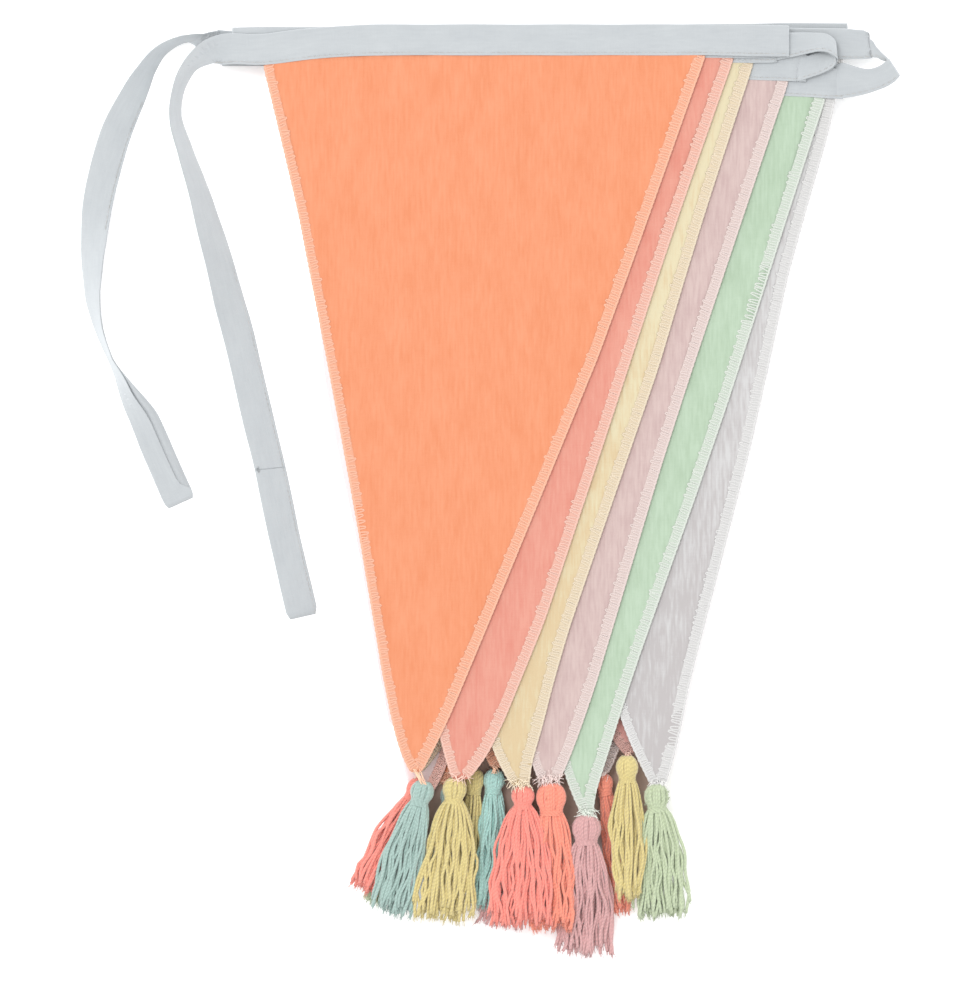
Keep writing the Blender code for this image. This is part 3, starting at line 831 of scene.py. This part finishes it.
def tassel_head(surface, place, rng, strands, fuzz):
    """Strands laid close over a filling from the head's top to its neck, and the yarn round the neck."""
    tall_half = min(place.head_half * 0.75, 0.0044)
    core = [(*(place.start + place.axis * place.head_length * t), place.head_z) for t in HEAD_CORE]
    widths = np.array([max(head_radius(t), 0.62 if t > 0.5 else 0.1) for t in HEAD_CORE])
    inner = np.maximum(widths * place.head_half - YARN, 0.0008)
    surface.sweep(core, inner, 12, flat=tall_half / place.head_half)
    for strand in range(strands):
        turn = 2 * math.pi * (strand + rng.uniform(-0.25, 0.25)) / strands
        swirl = rng.uniform(-0.16, 0.16)
        line = []
        for t in np.linspace(0, 1, 10):
            wide = max(place.head_half * head_radius(t), place.neck_half * smooth(t * 1.6)) - YARN * 0.9
            tall = max(tall_half * head_radius(t), NECK_HALF_HEIGHT * smooth(t * 1.6)) - YARN * 0.7
            angle = turn + swirl * math.sin(math.pi * t)
            spot = place.start + place.axis * (place.head_length * t)
            spot = spot + place.side * max(wide, 0.0010) * math.cos(angle)
            z = place.head_z + max(tall, 0.0008) * math.sin(angle)
            line.append((*spot, max(z, YARN + 0.0001)))
        surface.sweep(line, YARN * rng.uniform(1.05, 1.25), 6, start=rng.uniform(0, 0.01))
    points = []
    for k in range(int(NECK_TURNS * 16) + 1):
        angle = 2 * math.pi * k / 16
        along = place.head_length * 0.93 + NECK_BINDING * k / (NECK_TURNS * 16)
        spot = place.start + place.axis * along
        spot = spot + place.side * (place.neck_half - YARN * 0.3) * math.cos(angle)
        z = place.head_z + NECK_HALF_HEIGHT * math.sin(angle)
        points.append((*spot, max(z, YARN + 0.0001)))
    surface.sweep(points, YARN * 0.62, 6)
    fluff(surface, place, rng, fuzz)


FUZZ = {4: 60, 5: 140, 6: 30}  # fine fibres that stand out of a head, by pennant


def fluff(surface, place, rng, count):
    """Short fibres that stand out of a head all round."""
    for _ in range(count):
        t, angle = rng.uniform(0.0, 1.05), rng.uniform(-0.4, math.pi + 0.4)
        radius = max(head_radius(min(t, 0.98)), 0.5)
        spot = place.start + place.axis * place.head_length * t
        spot = spot + place.side * place.head_half * radius * math.cos(angle)
        z = place.head_z + 0.0040 * radius * math.sin(angle)
        way = np.array((rng.gauss(0, 1), rng.gauss(0, 1), abs(rng.gauss(0, 0.6))))
        way *= rng.uniform(0.0008, 0.0020) / np.linalg.norm(way)
        root = np.array((spot[0], spot[1], max(z, 0.0006)))
        surface.sweep([root, root + way * 0.6, root + way], 0.00014, 4)


SEEN_TASSELS = 10  # the tassels that show most, which have more and finer strands


def build_tassel(index, material):
    """One tassel, as fine as it shows: its skirt of strands, their frayed ends and its head."""
    rng = random.Random(700 + index)
    lie, place = LIES[index], tassel_place(index)
    seen = index < SEEN_TASSELS
    surface = Surface()
    section = math.pi * lie.end_half * (1 + 0.5 * lie.belly) * SKIRT_HALF_HEIGHT
    count = int(clamp(0.90 * section / (math.pi * YARN * YARN), 34, 124))
    for a, b in disc(count, rng):
        line = skirt_strand(place, lie, a, b, rng, 15 if seen else 9)
        thick = YARN * rng.uniform(0.9, 1.08) * np.linspace(0.95, 1.05, len(line))
        surface.sweep(line, thick, 6 if seen else 5, start=rng.uniform(0, 0.01))
        frayed_end(surface, line, rng, 4 if seen else 2)
    tassel_head(surface, place, rng, 30 if seen else 18, FUZZ.get(index, 0))
    name = tassel_name(index)
    tassel = surface.piece(f"{name}_yarn", material, f"yarn_{YARNS[index % len(YARNS)]}")
    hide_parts(name)


def build_tassels():
    materials = {yarn: spun(f"cotton_yarn_{yarn}", YARN_COLOURS[yarn], YARN_TWIST) for yarn in YARNS}
    for index in range(COUNT):
        material = materials[YARNS[index % len(YARNS)]]
        # The seventh tassel gets its bluer yarn, painted lighter: painted light.
        if index in OWN_AND_PAINTED_LIGHT_YARNS:
            material = spun(f"cotton_yarn_own_and_painted_light_{index + 1:02d}", OWN_AND_PAINTED_LIGHT_YARNS[index], YARN_TWIST)
        build_tassel(index, material)


# ------------------------------------------------------------------ binding

TAPE_BETWEEN = 0.065  # length of the tape between one pennant's top and the next one's
BEND_STEPS = 8
GAP = 0.0003  # between a pennant's top and the tape's lower edge, in the frame
DIP_SHARE = 0.3  # of the top edge, over which the first pennant's dips
ROUTE_STEP = 0.0035

# The pennants' top edges, as the tape's solid follows them: the right corner, the rise in degrees, and how
# far the left end dips.
Edge = namedtuple("Edge", "corner_x corner_y rise dip")
EDGES = (
    Edge(0.1038, 0.2093, 0.0, 0.0046),
    Edge(0.1174, 0.2082, 0.0, 0.0),
    Edge(0.1270, 0.2058, -0.5, 0.0),
    Edge(0.1439, 0.1971, -2.0, 0.0),
    Edge(0.1618, 0.1889, -3.0, 0.0),
    Edge(0.1705, 0.2077, -0.3, 0.0),
    Edge(0.1343, 0.2067, 0.3, 0.0),
    Edge(0.1290, 0.2058, 0.5, 0.0),
    Edge(0.1415, 0.2105, 0.75, 0.0),
    Edge(0.1372, 0.2105, 0.75, 0.0),
    Edge(0.1304, 0.2048, 0.0, 0.0),
    Edge(0.1034, 0.2048, 0.0, 0.0),
    Edge(0.1304, 0.2053, 0.0, 0.0),
    Edge(0.1232, 0.2048, 0.0, 0.0),
)
PENNANT_WIDTH = 0.213

# The two loose turns at the right, as the places of the tape's top and lower edges, from one run to the next.
Edges = namedtuple("Edges", "top_x top_y top_z low_x low_y low_z")
YELLOW_TURN = (
    Edges(0.1391, 0.2207, 0.0148, 0.1381, 0.2074, 0.0148),
    Edges(0.1497, 0.2208, 0.0148, 0.1483, 0.2094, 0.0154),
    Edges(0.1565, 0.2207, 0.0148, 0.1546, 0.2108, 0.0164),
    Edges(0.1618, 0.2202, 0.0148, 0.1589, 0.2115, 0.0178),
    Edges(0.1652, 0.2183, 0.0146, 0.1633, 0.2106, 0.0188),
    Edges(0.1666, 0.2159, 0.0142, 0.1671, 0.2077, 0.0180),
    Edges(0.1652, 0.2140, 0.0135, 0.1659, 0.2043, 0.0166),
    Edges(0.1613, 0.2120, 0.0131, 0.1606, 0.2012, 0.0151),
    Edges(0.1546, 0.2101, 0.0135, 0.1536, 0.1988, 0.0146),
    Edges(0.1488, 0.2087, 0.0135, 0.1483, 0.1973, 0.0141),
)
GREEN_TURN = (
    Edges(0.1662, 0.2052, 0.0122, 0.1662, 0.1891, 0.0122),
    Edges(0.1710, 0.2062, 0.0125, 0.1715, 0.1894, 0.0122),
    Edges(0.1768, 0.2043, 0.0128, 0.1782, 0.1904, 0.0122),
    Edges(0.1826, 0.2033, 0.0130, 0.1864, 0.1927, 0.0125),
    Edges(0.1879, 0.2048, 0.0128, 0.1932, 0.1956, 0.0125),
    Edges(0.1920, 0.2079, 0.0124, 0.1975, 0.1995, 0.0122),
    Edges(0.1918, 0.2084, 0.0113, 0.1966, 0.2009, 0.0105),
    Edges(0.1898, 0.2106, 0.0107, 0.1922, 0.2062, 0.0099),
    Edges(0.1864, 0.2142, 0.0109, 0.1891, 0.2077, 0.0105),
    Edges(0.1831, 0.2181, 0.0111, 0.1850, 0.2090, 0.0109),
)
LOOSE_TURNS = {2: YELLOW_TURN, 4: GREEN_TURN}
STRAIGHT_SHARES = (0.0, 0.5, 1.0)
DIPPED_SHARES = (0.0, 0.1, 0.2, 0.3, 0.6, 1.0)

Station = namedtuple("Station", "x y lift roll")
FIRST_TIE = (
    Station(-0.0906, -0.0613, 0.0001, 0),
    Station(-0.0997, -0.0222, 0.0001, 0),
    Station(-0.1063, 0.0097, 0.0001, 0),
    Station(-0.1123, 0.0343, 0.0001, 0),
    Station(-0.1210, 0.0720, 0.0001, 4),
    Station(-0.1262, 0.0910, 0.0001, 14),
    Station(-0.1309, 0.1096, 0.0001, 28),
    Station(-0.1362, 0.1280, 0.0001, 39),
    Station(-0.1411, 0.1449, 0.0002, 50),
    Station(-0.1475, 0.1642, 0.0004, 62),
    Station(-0.1520, 0.1797, 0.0012, 69),
    Station(-0.1505, 0.1932, 0.0038, 70),
    Station(-0.1455, 0.2036, 0.0070, 66),
    Station(-0.1372, 0.2102, 0.0112, 46),
    Station(-0.1300, 0.2122, 0.0152, 16),
    Station(-0.1230, 0.2128, 0.0169, 0),
)
LAST_TIE = (
    Station(-0.1290, 0.2150, 0.0001, 0),
    Station(-0.1350, 0.2162, 0.0001, 32),
    Station(-0.1405, 0.2178, 0.0001, 68),
    Station(-0.1459, 0.2183, 0.0002, 80),
    Station(-0.1520, 0.2166, 0.0002, 78),
    Station(-0.1598, 0.2118, 0.0002, 70),
    Station(-0.1664, 0.2029, 0.0001, 58),
    Station(-0.1724, 0.1913, 0.0001, 38),
    Station(-0.1806, 0.1739, 0.0001, 12),
    Station(-0.1867, 0.1536, 0.0001, 0),
    Station(-0.1900, 0.1380, 0.0001, -12),
    Station(-0.1913, 0.1251, 0.0001, -28),
    Station(-0.1923, 0.1111, 0.0001, -43),
    Station(-0.1922, 0.1014, 0.0001, -52),
    Station(-0.1919, 0.0918, 0.0001, -60),
    Station(-0.1889, 0.0773, 0.0001, -74),
    Station(-0.1833, 0.0628, 0.0001, -80),
    Station(-0.1793, 0.0555, 0.0001, -72),
    Station(-0.1755, 0.0483, 0.0001, -58),
    Station(-0.1713, 0.0411, 0.0001, -40),
    Station(-0.1672, 0.0338, 0.0001, -25),
    Station(-0.1611, 0.0193, 0.0001, -8),
    Station(-0.1547, 0.0048, 0.0001, 0),
    Station(-0.1497, -0.0063, 0.0001, 0),
)


def layer_height(index):
    return CLOTH_SOLID / 2 + LAYER * (LAST - index)


def edge_direction(edge):
    turn = math.radians(edge.rise)
    return Vector((math.cos(turn), math.sin(turn)))


def tape_place(index, along):
    """The middle of the tape over the pennant's top edge."""
    edge = EDGES[index]
    direction = edge_direction(edge)
    point = Vector((edge.corner_x, edge.corner_y)) - direction * PENNANT_WIDTH * (1 - along)
    point.y -= edge.dip * max(0.0, 1 - max(along, 0.0) / DIP_SHARE) ** 2
    place = point + Vector((-direction.y, direction.x)) * (GAP + TAPE_WIDTH / 2)
    return Vector((place.x, place.y, layer_height(index)))


def turn_place(index):
    """Where the tape turns over between the pennant of this index and the next, in plan."""
    along = 1.0 if index % 2 == 0 else 0.0
    outward = TAPE_BETWEEN / 2 if index % 2 == 0 else -TAPE_BETWEEN / 2
    between = (tape_place(index, along) + tape_place(index + 1, along)) / 2
    return Vector((between.x + outward, between.y))


def station_points(stations):
    """The tape's middle at each station, as (point, roll in radians)."""
    found = []
    for station in stations:
        roll = math.radians(station.roll)
        rise = TAPE_WIDTH / 2 * abs(math.sin(roll)) + CLOTH_SOLID / 2 * abs(math.cos(roll))
        found.append((Vector((station.x, station.y, station.lift + rise)), roll))
    return found


def run_points(index):
    """The tape's middle from one turn to the next, as (point, roll), in the order in which it is laid."""
    points = []
    if index > 0 and index - 1 not in LOOSE_TURNS:
        turn = turn_place(index - 1)
        points.append((Vector((turn.x, turn.y, layer_height(index))), 0.0))
    shares = DIPPED_SHARES if EDGES[index].dip else STRAIGHT_SHARES
    if index % 2:
        shares = shares[::-1]
    points += [(tape_place(index, share), 0.0) for share in shares]
    if index < LAST and index not in LOOSE_TURNS:
        turn = turn_place(index)
        points.append((Vector((turn.x, turn.y, layer_height(index))), 0.0))
    return points


def frames(points, hand):
    """(point, width direction, half width). Hand is 1 where the tape's top edge is to the left of its way."""
    found = []
    for i, (point, roll) in enumerate(points):
        before, after = points[max(i - 1, 0)][0], points[min(i + 1, len(points) - 1)][0]
        way = (after - before).normalized()
        left = Vector((-way.y, way.x, 0.0)).normalized()
        up = way.cross(left).normalized()
        found.append((point, left * hand * math.cos(roll) + up * math.sin(roll), TAPE_WIDTH / 2))
    return found


def bend(first, second):
    """The turn between two runs, round a level axis, as rows of (point, width direction, half width)."""
    (top, top_width, half), (low, low_width, _) = first[-1], second[0]
    width = (top_width + low_width).normalized()
    outward = width.cross(Vector((0, 0, 1)))
    if outward.dot(top - first[-2][0]) < 0:
        outward = -outward
    found = []
    for step in range(1, BEND_STEPS):
        angle = math.pi * step / BEND_STEPS
        place = top.lerp(low, (1 - math.cos(angle)) / 2) + outward * LAYER / 2 * math.sin(angle)
        found.append((place, width, half))
    return found


def loose_turn(edges):
    """The same for a turn that is given by its two edges."""
    found = []
    for row in edges:
        top, low = Vector(row[:3]), Vector(row[3:])
        found.append(((top + low) / 2, (top - low).normalized(), (top - low).length / 2))
    return found


def between(a, b, c, d, t):
    """A point of the smooth curve through b and c, whose neighbours are a and d."""
    square, cube = 2 * a - 5 * b + 4 * c - d, 3 * b - a - 3 * c + d
    return 0.5 * ((2 * b) + (c - a) * t + square * t * t + cube * t ** 3)


# The kind of a stretch of tape: a tie, or a pennant's index, and a fraction more on the turn after it.
FIRST_TIE_KIND, LAST_TIE_KIND = -1, -2
LOOSE, FOLDED = 0.25, 0.5


def laid_route():
    """The tape from end to end, as rows of (point, width direction, half width), and the kind of each row."""
    rows, kinds = [], []
    for index in range(COUNT):
        points = run_points(index)
        run_kinds = [index] * len(points)
        if index == 0:
            points = station_points(FIRST_TIE) + points
            run_kinds = [FIRST_TIE_KIND] * len(FIRST_TIE) + run_kinds
        if index == LAST:
            points += station_points(LAST_TIE)
            run_kinds += [LAST_TIE_KIND] * len(LAST_TIE)
        run, turn = frames(points, 1 if index % 2 == 0 else -1), []
        if index - 1 in LOOSE_TURNS:
            turn = loose_turn(LOOSE_TURNS[index - 1])
            kinds += [index - 1 + LOOSE] * len(turn)
        elif index > 0:
            turn = bend(rows, run)
            kinds += [index - 1 + FOLDED] * len(turn)
        rows += turn + run
        kinds += run_kinds
    return rows, kinds


# The tape's samples: middle, width direction, half width, face direction, length so far and kind of stretch.
Route = namedtuple("Route", "line width half face far kind")


def tape_route():
    """The whole tape, sampled closely enough to sweep the binding's section along it."""
    rows, kinds = laid_route()
    points, widths, halves = (np.array(column, float) for column in zip(*rows))
    fine = []
    for i in range(len(points) - 1):
        near = [max(i - 1, 0), i, i + 1, min(i + 2, len(points) - 1)]
        length = np.linalg.norm(points[i + 1] - points[i])
        loose = LOOSE in (kinds[i] % 1, kinds[i + 1] % 1)
        steps = 4 if loose else max(1, math.ceil(length / ROUTE_STEP))
        straight = not loose and (length > 0.03 or length < 0.001)
        for k in range(steps):
            t = k / steps
            point, width, half = (row[i] + (row[i + 1] - row[i]) * t for row in (points, widths, halves))
            if loose:
                width, half = between(*widths[near], t), between(*halves[near], t)
            if not straight:
                point = between(*points[near], t)
            fine.append((*point, *width, half, kinds[i]))
    fine.append((*points[-1], *widths[-1], halves[-1], kinds[-1]))
    fine = np.array(fine)
    line, width = fine[:, :3], fine[:, 3:6]
    way = np.gradient(line, axis=0)
    way /= np.linalg.norm(way, axis=1)[:, None]
    width /= np.linalg.norm(width, axis=1)[:, None]
    face = np.cross(way, width)
    face /= np.linalg.norm(face, axis=1)[:, None]
    return Route(line, width, fine[:, 6], face, far_along(line), fine[:, 7])


def binding_section(gape, back_edge):
    """The folded binding in section, all the way round its two leaves.

    Each point is (across, through) in metres, across from the open edge to the fold. Back_edge says where the
    lower leaf ends, with the open edge at -1 and the fold at 1.
    """
    half = TAPE_WIDTH / 2
    outer = gape + LEAF
    front = [(-half, outer * 0.86), (-half + 0.0003, outer), (-0.55 * half, outer * 1.04),
             (0.0, outer), (0.55 * half, outer), (0.90 * half, outer), (0.975 * half, outer * 0.75)]
    back = [(max(x, back_edge * half + 0.0006), -y) for x, y in reversed(front)]
    back[-1] = (back_edge * half, -outer * 0.86)
    back[-2] = (back_edge * half + 0.0003, -outer)
    inner = [(back_edge * half, -gape), (-0.3 * half, -gape), (0.93 * half, -gape * 0.9),
             (0.93 * half, gape * 0.9), (-0.3 * half, gape), (-half, gape)]
    return np.array(front + [(half, 0.0)] + back + inner)


SLIT_REACH = 0.075  # the last tie's leaves part over this much of its end
SLIT_GAPE = 0.0004  # how much more than elsewhere
SLIT_BACK = 0.62  # how far the lower leaf draws back there, as a share of half the width
LOWEST_TAPE = 0.00008


def binding_ring(route, i):
    """The binding's section at one place of its route, as points and as surface coordinates."""
    far, left = route.far[i], route.far[-1] - route.far[i]
    tie = route.kind[i] < 0
    opened = 0.0
    if route.kind[i] == LAST_TIE_KIND:
        opened = smooth((SLIT_REACH - left) / 0.02) * smooth((left - 0.004) / 0.006)
    section = binding_section((TIE_GAPE if tie else RUN_GAPE) + SLIT_GAPE * opened, SLIT_BACK * opened - 1.0)
    rounded = 1 - 0.16 * smooth(1 - min(far, left) / 0.003)
    swell = (1 + 0.010 * math.sin(far * 140)) * rounded * route.half[i] / (TAPE_WIDTH / 2)
    crease = 0.00010 * math.sin(far * 310) * math.sin(far * 97 + 1) if tie or route.kind[i] < 1 else 0.0
    through = section[:, 1:] + crease * (section[:, 1:] > 0)
    ring = route.line[i] + route.width[i] * section[:, :1] * swell + route.face[i] * through
    ring[:, 2] = np.maximum(ring[:, 2], LOWEST_TAPE)
    return ring, np.stack([far_along(section), np.full(len(section), far)], axis=1)


def build_binding():
    """The whole folded tape with its ties, the stitches along its open side and the seam across one tie."""
    route = tape_route()
    rings, coordinates = zip(*(binding_ring(route, i) for i in range(len(route.line))))
    sides = len(rings[0])
    place = np.concatenate(coordinates)
    faces = quads(len(rings), sides, closed=True).reshape(-1, 4)
    surface = Surface()
    surface.add(np.concatenate(rings), faces, place[faces])
    ring = np.arange(sides)[None, :]
    for end in (ring, ring[:, ::-1] + (len(rings) - 1) * sides):
        surface.cover(end, place[end[0]])
    # The rolled and standing stretches of the tape are painted paler by lift: painted light.
    material = woven("woven_cotton_tape", TAPE_COLOURS, slub=0.45, mottle=0.8, lift=0.45)
    tape = surface.piece("tape_binding", material, "tape")
    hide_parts("tape")
    stitches, seam = edge_stitches(route), cross_seam(route)


def place_along(route, s):
    """The tape's middle, this far along it."""
    return np.array([np.interp(s, route.far, route.line[:, axis]) for axis in range(3)])


# One stitch, as how far along it each point is and how far above the cloth: it dives in at both ends.
STITCH = ((0.0, -0.00012), (0.2, 0.00006), (0.8, 0.00006), (1.0, -0.00012))
STITCH_INSET = 0.0013  # from the open edge
UNSTITCHED = 0.078  # the length of the last tie's end that has no stitches
STEEP = 0.5  # there are none either where the tape's width points up or down by more than this share


def edge_stitches(route):
    """Straight stitches near the open edge of the binding, on both of its faces."""
    surface = Surface()
    far = route.far
    for k in range(int(far[-1] / EDGE_STITCH)):
        first, last = (k + 0.10) * EDGE_STITCH, (k + 0.86) * EDGE_STITCH
        middle = (first + last) / 2
        i = int(np.searchsorted(far, middle))
        if not 1 <= i < len(far) - 1 or route.kind[i] % 1 == FOLDED or abs(route.width[i][2]) > STEEP:
            continue
        if route.kind[i] == LAST_TIE_KIND and far[-1] - middle < UNSTITCHED:
            continue
        through = (TIE_GAPE if route.kind[i] < 0 else RUN_GAPE) + LEAF
        across = STITCH_INSET - route.half[i]
        for side in (1, -1):
            spots = []
            for t, above in STITCH:
                spot = place_along(route, first + (last - first) * t)
                spot = spot + route.width[i] * across + route.face[i] * side * (through + above)
                spot[2] = max(spot[2], 0.0002)
                spots.append(spot)
            surface.sweep(spots, 0.00017, 4)
    material = spun("edge_stitch_thread", TAPE_THREAD_COLOUR, EDGE_STITCH_TWIST)
    return surface.piece("tape_edge_stitches", material, "stitching")


SEAM_FROM_END = 0.0735  # the cross seam of the first tie, from its free end
SEAM_HALF = 0.0072
SEAM_SLANT = 0.12  # how far the seam shifts along the tie for its way across


def cross_seam(route):
    """The seam across the first tie, with the small knot at its left end."""
    surface = Surface()
    line = []
    for across in np.linspace(-SEAM_HALF, SEAM_HALF, 12):
        s = SEAM_FROM_END + across * SEAM_SLANT
        i = int(np.searchsorted(route.far, s))
        spot = place_along(route, s) + route.width[i] * across
        line.append((spot[0], spot[1], spot[2] + TIE_GAPE + LEAF + 0.00003))
    surface.sweep(line, 0.00011, 4)
    rng = random.Random(5)
    knot = np.array(line[-2])
    for _ in range(7):
        root = knot + np.array((rng.uniform(-0.0003, 0.0003), rng.uniform(-0.0009, 0.0009), 0.0001))
        tip = root + np.array((rng.uniform(-0.0006, 0.0006), rng.uniform(-0.0012, 0.0012), 0.0003))
        surface.sweep([root, (root + tip) / 2 + np.array((0, 0, 0.0002)), tip], 0.00018, 5)
    material = spun("seam_thread", SEAM_COLOUR, SEAM_TWIST)
    return surface.piece("tape_cross_seam", material, "stitching")


# ------------------------------------------------------------------ studio


PAPER = linear(250, 250, 250)
PAPER_SIZE = 30.0
WORLD_STRENGTH = 1.27
KEY_PLACE = (-0.7, 0.8, 2.1)
KEY_SIZE = 1.0
KEY_POWER = 18.0
CAMERA_HEIGHT = 4.0
VIEW_HEIGHT = 0.4738  # what the picture shows from its top to its bottom, at the stack's middle
STACK_MIDDLE = 0.010
FLOOR_GLOW = 0.20  # the paper is lit from behind, so that a soft shade beside the stack washes out
# The paper under the tips, seen only between the tassels' heads, is painted in deep warm shade and does not
# glow there. Each side of that patch fades in from its first number to its second.
SHADE_COLOUR = (0.42, 0.31, 0.26)
SHADE_X = ((-0.035, -0.030), (0.0800, 0.0760))
SHADE_Y = ((-0.188, -0.164), (-0.112, -0.120))


def build_floor():
    corners = [(x * PAPER_SIZE, y * PAPER_SIZE, 0) for x, y in ((-1, -1), (1, -1), (1, 1), (-1, 1))]
    mesh = bpy.data.meshes.new("floor")
    mesh.from_pydata(corners, [], [(0, 1, 2, 3)])
    material, tree, shader = new_material("floor_paper", PAPER, 0.95, 0.0)
    place = node(tree, "ShaderNodeTexCoord").outputs["Object"]
    grain = noise(tree, place, 900.0, 2.0)
    axes = node(tree, "ShaderNodeSeparateXYZ", {"Vector": place}).outputs
    # Painted shade: 1 over the patch under the tips, 0 beyond it.
    shade = 1.0
    for axis, edges in (("X", SHADE_X), ("Y", SHADE_Y)):
        for first, last in edges:
            limits = {"Value": axes[axis], "From Min": first, "From Max": last}
            side = node(tree, "ShaderNodeMapRange", limits, interpolation_type="SMOOTHSTEP").outputs["Result"]
            shade = times(tree, side, shade)
    colour = two_tone(tree, plus(tree, shade, times(tree, grain, 0.006)), PAPER, SHADE_COLOUR, 0.0, 1.0)
    tree.links.new(colour, shader.inputs["Base Color"])
    glow = times(tree, minus(tree, 1.0, shade), FLOOR_GLOW)
    shader.inputs["Emission Color"].default_value = (1.0, 1.0, 1.0, 1.0)
    tree.links.new(glow, shader.inputs["Emission Strength"])
    mesh.materials.append(material)
    floor = bpy.data.objects.new("floor", mesh)
    bpy.context.scene.collection.objects.link(floor)


def build_light(name, place, size, power):
    data = bpy.data.lights.new(name, "AREA")
    data.shape = "DISK"
    data.size = size
    data.energy = power
    light = bpy.data.objects.new(name, data)
    light.location = place
    light.rotation_euler = (-Vector(place)).to_track_quat("-Z", "Y").to_euler()
    bpy.context.scene.collection.objects.link(light)


def build_world(strength):
    world = bpy.data.worlds.new("studio")
    world.use_nodes = True
    background = world.node_tree.nodes["Background"]
    background.inputs["Color"].default_value = (1.0, 1.0, 1.0, 1.0)
    background.inputs["Strength"].default_value = strength
    bpy.context.scene.world = world


def build_camera():
    """Straight above, far off behind a long lens, so that the stack's layers hardly shift."""
    data = bpy.data.cameras.new("camera")
    data.sensor_width = 36.0
    data.lens = data.sensor_width * (CAMERA_HEIGHT - STACK_MIDDLE) / VIEW_HEIGHT
    data.clip_end = 50.0
    camera = bpy.data.objects.new("camera", data)
    camera.location = (0.0, -0.0002, CAMERA_HEIGHT)
    bpy.context.scene.collection.objects.link(camera)
    bpy.context.scene.camera = camera


def main():
    bpy.context.scene.view_settings.view_transform = "Standard"
    build_camera()
    build_floor()
    build_world(WORLD_STRENGTH)
    build_light("key", KEY_PLACE, KEY_SIZE, KEY_POWER)
    build_pennants()
    build_tassels()
    build_binding()


main()
